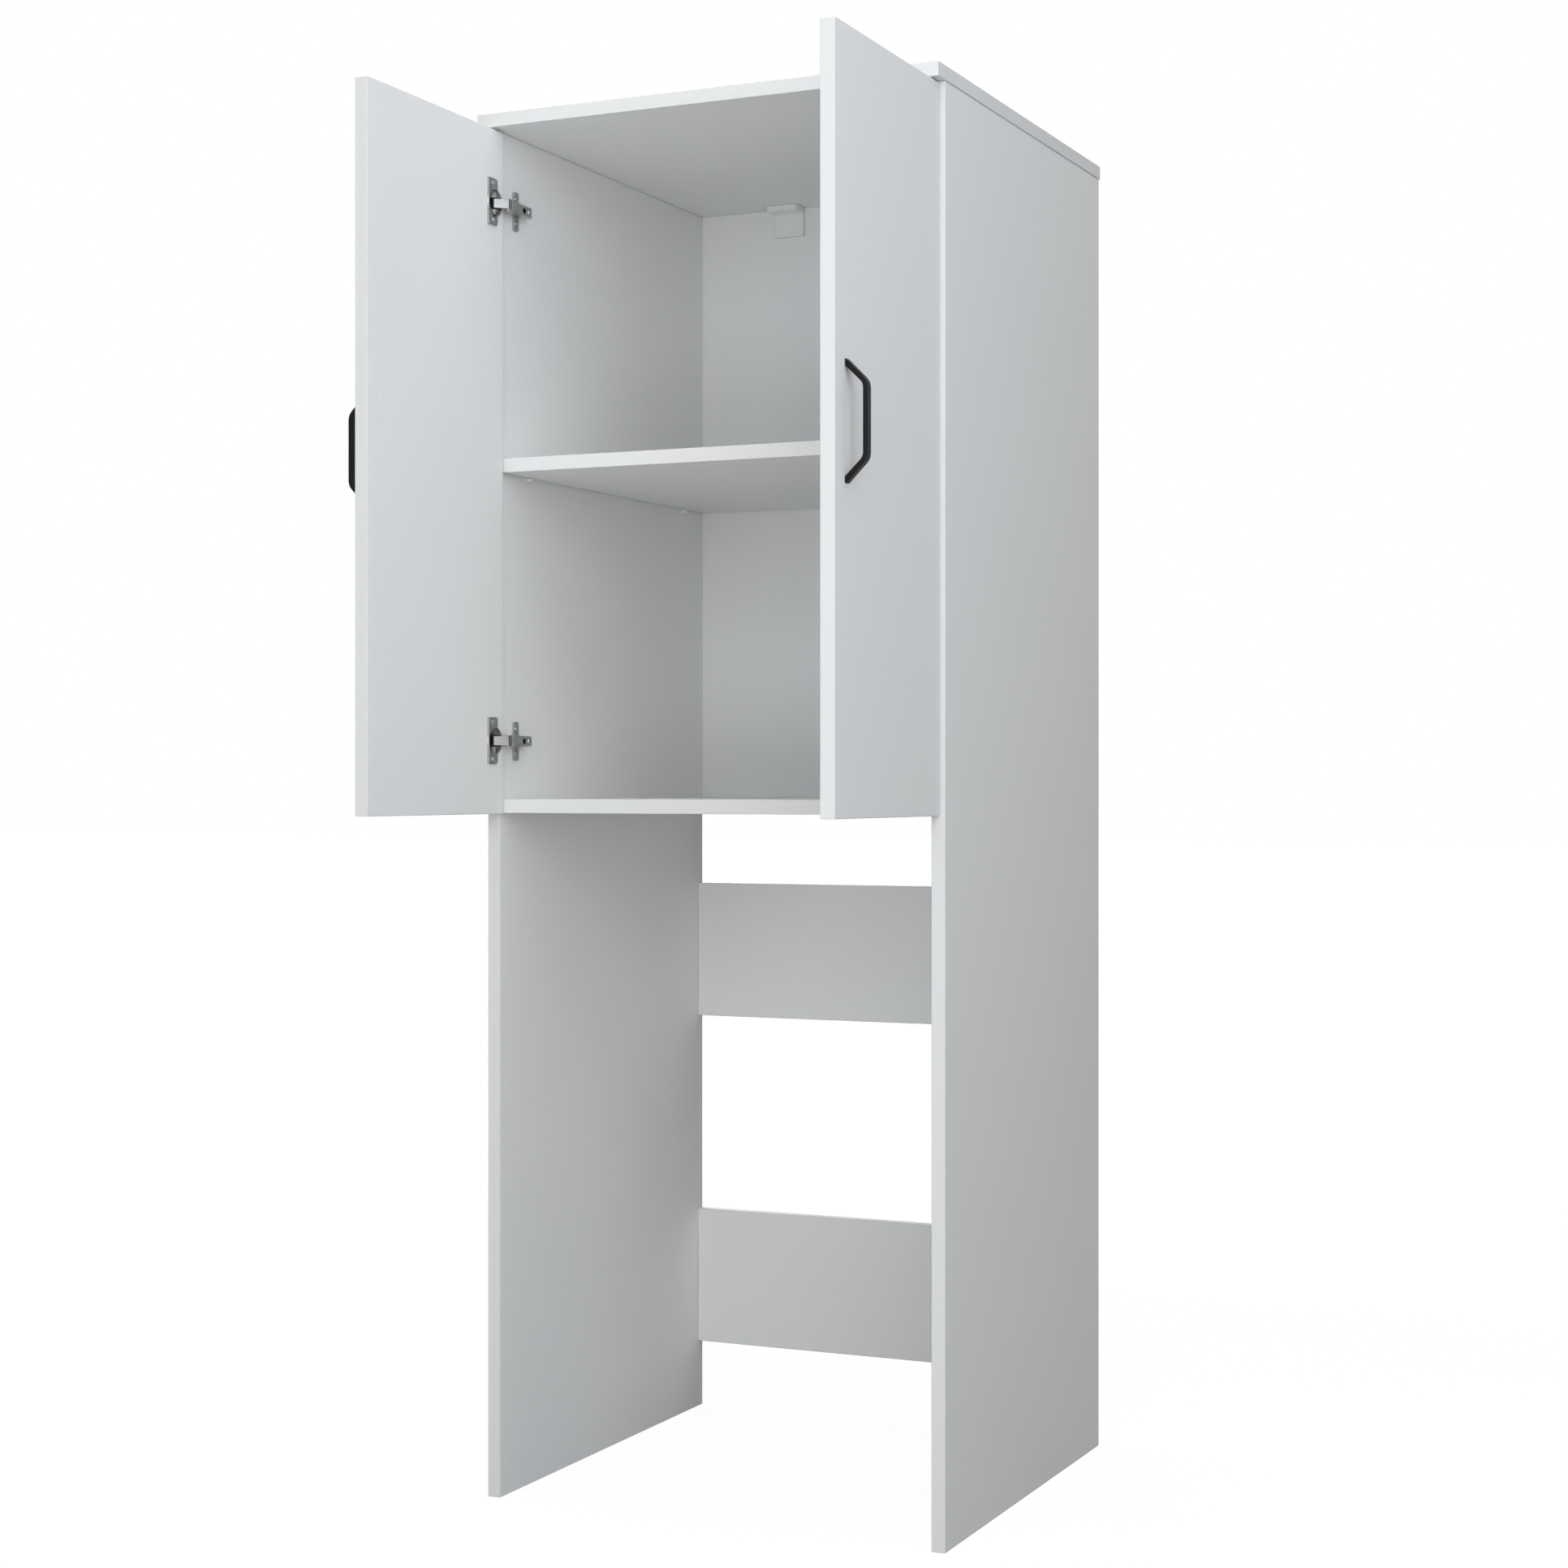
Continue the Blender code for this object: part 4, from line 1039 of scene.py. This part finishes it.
@dataclass(frozen=True)
class Fixing:
    """A screw or cam of a hinge.

    Attributes:
        name: what it is called on the hinge.
        seat: its seat's (u, v, w).
        screw: its sizes.
        turn: how far its recess is turned, in radians.
        finish: its finish.
        on_door: whether it rides on the door.
    """

    name: str
    seat: Place
    screw: Screw
    turn: float
    finish: Plain = BRIGHT_NICKEL
    on_door: bool = False


@dataclass
class CupHinge:
    """A concealed hinge: its five links and plates, and the screws that hold and set it.

    Places are (u, v, w): u from the side panel's inner face into the cabinet, v back from its
    front edge and w up from the hinge's middle.

    Attributes:
        side: the hinge's side.
        tier: the lower or upper hinge.
        links: what kind of piece each node is, its finish and how high it stays.
        cup_face: u of the cup's flange.
        cup_lip: how far below it the painted shade inside the cup begins.
        pairs: the screws above and below the hinge's middle.
        singles: the screws and the cam along the arm.
        outer_pin: (u, v) of the arm's outer pin.
        outer_bend: (u, v) of the outer link's bend.
        sheet: the thickness of the web and of the nose.
        web: how far the outer link's web stands off its pin and off its bend.
        web_half: half the web's height.
        web_past: how far the web runs past the bend.
        web_wrap: how far the web wraps round the pin, in degrees.
        web_step: the degrees from one of its points to the next.
        nose: (u, v) of the nose's front and rear ends.
        nose_half: half the nose's height.
    """

    side: Side
    tier: Tier
    links: dict[str, tuple[str, Plain, float]] = field(default_factory=lambda: {
        "mounting_plate": ("casting", ZINC, 1.0),
        "arm": ("pressing", NICKEL, 0.88),
        "inner_link": ("pressing", NICKEL, 0.82),
        # The outer link takes the darker copy of the bright nickel, as painted shade.
        "outer_link": ("pressing", SHADED_LINK_NICKEL, 0.82),
        "cup": ("pressing", NICKEL, 1.0),
    })
    cup_face: float = 0.0087
    cup_lip: float = 0.0025
    pairs: tuple[Fixing, ...] = (
        Fixing("ear_screw", (cup_face, -0.0305, 0.024), Screw(0.0034, 0.0011, 0.0019, 0.0024), 0.4,
               on_door=True),
        Fixing("wing_screw", (0.0031, 0.037, 0.016), Screw(0.0034, 0.0016, 0.0019, 0.0027), 0.9),
    )
    singles: tuple[Fixing, ...] = (
        Fixing("adjusting_screw", (0.0147, 0.0246, 0.0),
               Screw(0.0027, 0.0010, 0.0012, 0.0001, dome=False), 0.2),
        # The depth cam takes the black lacquer as painted shade, for the shade in the arm's hole.
        Fixing("depth_cam", (0.0147, 0.0365, 0.0),
               Screw(0.0038, 0.0007, 0.0015, 0.0001, dome=False), 0.5, BLACK),
        Fixing("fixing_screw", (0.0160, 0.0492, 0.0), Screw(0.0038, 0.0018, 0.0019, 0.0013), 0.7),
    )
    outer_pin: Point = (0.016655, -0.0080)
    outer_bend: Point = (0.00466, -0.01912)
    sheet: float = 0.0008
    web: tuple[float, float] = (0.00315, 0.00265)
    web_half: float = 0.0058
    web_past: float = 0.0026
    web_wrap: int = 75
    web_step: int = 5
    nose: tuple[Point, Point] = ((0.0153, -0.0044), (0.01598, 0.0020))
    nose_half: float = 0.0064

    @property
    def name(self) -> str:
        """The start of the hinge's node names."""
        return f"{self.side.word}_{self.tier.value}_hinge"

    def build(self) -> None:
        """Dresses the links and drives the screws."""
        for part, (suffix, finish, narrow) in self.links.items():
            made = smoothed(f"{self.name}_{part}", suffix, finish, narrow)
            if part == "cup":
                self.dull_inside(made.data)
        links = f"{self.side.word}_outer_links"
        # The web takes the outer link's darker nickel, as painted shade.
        self.folded("outer_link_web", self.web_outline(), self.web_half, SHADED_LINK_NICKEL, links)
        self.folded("arm_nose", self.nose_outline(), self.nose_half, NICKEL, "cabinet")
        for number, sign in enumerate((-1, 1), 1):
            for fixing in self.pairs:
                self.drive(fixing, f"{fixing.name}_{number}", sign)
        for fixing in self.singles:
            self.drive(fixing, fixing.name)

    def dull_inside(self, mesh: Mesh) -> None:
        """Paints shade into the inside of the cup, as a darker, rougher nickel below the flange.

        Args:
            mesh: the cup's mesh.
        """
        mesh.materials.append(SHADED_CUP_NICKEL.material())
        face = self.point((self.cup_face, 0.0, 0.0)).x
        for polygon in mesh.polygons:
            if (polygon.center.x - face) * self.side.value > self.cup_lip:
                polygon.material_index = 1

    def folded(self, name: str, outline: list[Vector], half: float, finish: Plain, body: str) -> None:
        """Adds a folded sheet that reaches evenly above and below the hinge's middle.

        Args:
            name: what it is called on this hinge.
            outline: its section, as (u, v) points.
            half: half its height.
            finish: its finish.
            body: the body that it rides on.
        """
        work = bmesh.new()
        rings = [[work.verts.new(self.point((*point, w))) for point in outline] for w in (-half, half)]
        for ring in rings:
            work.faces.new(ring)
        for step in range(len(outline)):
            after = (step + 1) % len(outline)
            work.faces.new([rings[0][step], rings[0][after], rings[1][after], rings[1][step]])
        bmesh.ops.recalc_face_normals(work, faces=work.faces)
        shown(f"{self.name}_{name}", mesh_of(work, name), finish, body)

    def web_outline(self) -> list[Vector]:
        """The section of the outer link's web, which wraps round the arm's outer pin.

        Returns:
            Its (u, v) points.
        """
        pin, bend = Vector(self.outer_pin), Vector(self.outer_bend)
        along = (bend - pin).normalized()
        across = Vector((-along.y, along.x))
        turns = range(-self.web_wrap, 1, self.web_step)
        wrap = [across @ Matrix.Rotation(math.radians(turn), 2) for turn in turns]
        tip = bend + along * self.web_past
        at_pin, at_bend = self.web
        outer = [pin + way * at_pin for way in wrap]
        outer.append(tip + across * at_bend)
        inner = [pin + way * (at_pin - self.sheet) for way in wrap]
        inner.append(tip + across * (at_bend - self.sheet))
        return outer + inner[::-1]

    def nose_outline(self) -> list[Vector]:
        """The section of the sheet that closes the arm's nose.

        Returns:
            Its (u, v) points.
        """
        front, rear = (Vector(point) for point in self.nose)
        under = Vector((-self.sheet, 0.0))
        return [front, rear, rear + under, front + under]

    def drive(self, fixing: Fixing, name: str, sign: int = 1) -> None:
        """Drives one screw, whose head faces into the cabinet.

        Args:
            fixing: the screw.
            name: what this one is called on the hinge.
            sign: 1 above the hinge's middle and -1 below it.
        """
        u, v, w = fixing.seat
        inward = Vector((-self.side.value, 0, 0))
        where = facing(self.point((u, v, sign * w)), inward, fixing.turn)
        body = f"{self.side.word}_door" if fixing.on_door else "cabinet"
        shown(f"{self.name}_{name}", fixing.screw.mesh(name), fixing.finish, body, where)

    def point(self, place: Place) -> Vector:
        """The place of a point of the hinge in the cabinet.

        Args:
            place: the point's (u, v, w).

        Returns:
            Its place.
        """
        panel_low, panel_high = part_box(f"{self.side.word}_side_panel")
        arm_low, arm_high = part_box(f"{self.name}_arm")
        inner = panel_high.x if self.side is Side.LEFT else panel_low.x
        u, v, w = place
        return Vector((inner - self.side.value * u, panel_low.y + v, (arm_low.z + arm_high.z) / 2 + w))


# The studio

@dataclass(frozen=True)
class Softbox:
    """A soft area light.

    Attributes:
        name: its name.
        place: where it hangs.
        target: what it points at.
        size: its width and height.
        power: its power in watts.
        colour: its colour.
    """

    name: str
    place: Place
    target: Place
    size: tuple[float, float]
    power: float
    colour: Colour = (1.0, 1.0, 1.0)

    def hang(self) -> None:
        """Adds the light."""
        data = bpy.data.lights.new(self.name, "AREA")
        data.shape = "RECTANGLE"
        data.size, data.size_y = self.size
        data.energy = self.power
        data.color = self.colour
        made = added(self.name, data)
        made.location = self.place
        made.rotation_euler = (Vector(self.target) - Vector(self.place)).to_track_quat("-Z", "Y").to_euler()


@dataclass
class Studio:
    """The floor, the soft light, the white surroundings and the camera.

    Attributes:
        lens: the camera's focal length in millimetres.
        frame_width: the width of its frame, likewise.
        sight: how far it sees, in metres.
        eye: the camera's place.
        heading: the camera's turn to the left of the y axis, in degrees.
        ambient: the strength of the light from all round.
        floor_tone: the floor's colour.
        floor_roughness: its roughness.
        floor_reach: how far it goes.
        floor_fade: the distances between which its glow changes.
        floor_glow: how much of it is plain white to the camera, near and far.
        floor_strength: how bright that white is.
        boxes: the soft lights.
    """

    lens: float = 62.672
    frame_width: float = 36.0
    sight: float = 100.0
    eye: Place = (1.51909, -3.22078, 0.93092)
    heading: float = 24.64
    ambient: float = 0.02
    floor_tone: float = 0.35
    floor_roughness: float = 0.9
    floor_reach: float = 40.0
    floor_fade: tuple[float, float] = (1.5, 5.0)
    floor_glow: tuple[float, float] = (0.80, 0.86)
    floor_strength: float = 1.19
    boxes: tuple[Softbox, ...] = (
        Softbox("camera_softbox", (1.6, -3.6, 1.9), (0.0, 0.0, 1.2), (2.4, 2.4), 31.0, (1.08, 1.0, 0.84)),
        Softbox("front_softbox", (0.2, -3.8, 1.9), (0.0, 0.0, 1.2), (1.8, 1.6), 9.0, (0.75, 1.0, 1.25)),
        Softbox("overhead_softbox", (0.0, -0.6, 4.2), (0.0, 0.0, 1.0), (4.2, 4.2), 116.0, (1.02, 1.0, 0.94)),
        Softbox("right_front_softbox", (3.4, -2.6, 2.2), (0.0, 0.0, 1.2), (2.2, 2.2), 17.5,
                (0.95, 1.0, 1.08)),
        Softbox("near_right_softbox", (1.9, -2.2, 2.0), (0.3, -0.2, 1.3), (2.1, 2.1), 17.5,
                (0.95, 1.0, 1.07)),
        Softbox("high_right_softbox", (1.9, -1.2, 2.7), (0.3, -0.1, 1.4), (1.4, 1.4), 3.5,
                (0.60, 1.0, 1.60)),
        Softbox("right_softbox", (4.0, 0.4, 2.2), (0.0, 0.0, 1.2), (2.2, 2.2), 12.0, (1.05, 1.0, 0.88)),
        Softbox("low_softbox", (0.2, -3.0, 0.35), (0.0, 0.0, 1.3), (3.0, 0.7), 19.0, (1.0, 1.0, 1.03)),
        Softbox("left_fill", (-4.2, 0.6, 1.4), (0.0, 0.2, 1.2), (2.4, 2.4), 60.0),
        Softbox("rear_fill", (-2.6, 4.0, 1.5), (0.0, 0.3, 1.2), (2.4, 2.4), 80.0),
    )

    def build(self) -> None:
        """Sets up everything round the cabinet."""
        self.floor()
        self.surroundings()
        for box in self.boxes:
            box.hang()
        self.camera()
        bpy.context.scene.view_settings.view_transform = "Standard"

    def seen(self, wiring: Wiring) -> Socket:
        """One for rays that show the surroundings: the camera's, mirrored and passed ones.

        Args:
            wiring: the material's or world's wiring.

        Returns:
            The value's socket.
        """
        path = wiring.node("ShaderNodeLightPath").outputs
        both = wiring.math("MAXIMUM", path["Is Camera Ray"], path["Is Glossy Ray"])
        return wiring.math("MAXIMUM", both, path["Is Transmission Ray"])

    def floor(self) -> None:
        """A wide pale floor that takes the cabinet's shadow."""
        material = bpy.data.materials.new("pale_floor")
        material.use_nodes = True
        wiring = Wiring(material.node_tree)
        shader = material.node_tree.nodes["Principled BSDF"]
        shader.inputs["Base Color"].default_value = (self.floor_tone, self.floor_tone, self.floor_tone, 1.0)
        shader.inputs["Roughness"].default_value = self.floor_roughness
        shader.inputs["Specular IOR Level"].default_value = 0.0
        glow = wiring.node("ShaderNodeEmission")
        glow.inputs["Strength"].default_value = self.floor_strength
        away = wiring.vector("LENGTH", wiring.node("ShaderNodeTexCoord").outputs["Object"])["Value"]
        share = wiring.ramp(away, *self.floor_fade, *self.floor_glow)
        blend = wiring.node("ShaderNodeMixShader")
        glowing = wiring.math("MULTIPLY", self.seen(wiring), share)
        for socket, value in zip(blend.inputs, (glowing, shader.outputs[0], glow.outputs[0])):
            wiring.feed(socket, value)
        wiring.feed(material.node_tree.nodes["Material Output"].inputs["Surface"], blend.outputs[0])
        work = bmesh.new()
        bmesh.ops.create_grid(work, x_segments=4, y_segments=4, size=self.floor_reach)
        made = added("floor", mesh_of(work, "floor"))
        made.data.materials.append(material)

    def surroundings(self) -> None:
        """A world that is white to look at and gives an even, softer light."""
        world = bpy.data.worlds.new("studio")
        bpy.context.scene.world = world
        world.use_nodes = True
        wiring = Wiring(world.node_tree)
        background = world.node_tree.nodes["Background"]
        background.inputs["Color"].default_value = (1.0, 1.0, 1.0, 1.0)
        strength = wiring.ramp(self.seen(wiring), 0.0, 1.0, self.ambient, 1.0)
        wiring.feed(background.inputs["Strength"], strength)

    def camera(self) -> None:
        """The camera at the photograph's view, level and looking from the right."""
        data = bpy.data.cameras.new("camera")
        data.sensor_fit = "HORIZONTAL"
        data.sensor_width = self.frame_width
        data.lens = self.lens
        data.clip_end = self.sight
        made = added("camera", data)
        made.location = self.eye
        made.rotation_euler = (math.radians(90), 0.0, math.radians(self.heading))
        bpy.context.scene.camera = made


def main() -> None:
    """Builds the studio, then each sub-assembly in turn."""
    logging.basicConfig(level=logging.INFO, format="%(name)s: %(message)s")
    assemblies = [("studio", Studio()), ("carcass", Carcass()), ("fittings", Fittings())]
    for side in Side:
        assemblies.append((f"{side.word} door", Door(side)))
        assemblies += [(f"{side.word} {tier.value} hinge", CupHinge(side, tier)) for tier in Tier]
    for name, assembly in assemblies:
        assembly.build()
        LOG.info("built the %s", name)


if __name__ == "__main__":
    main()
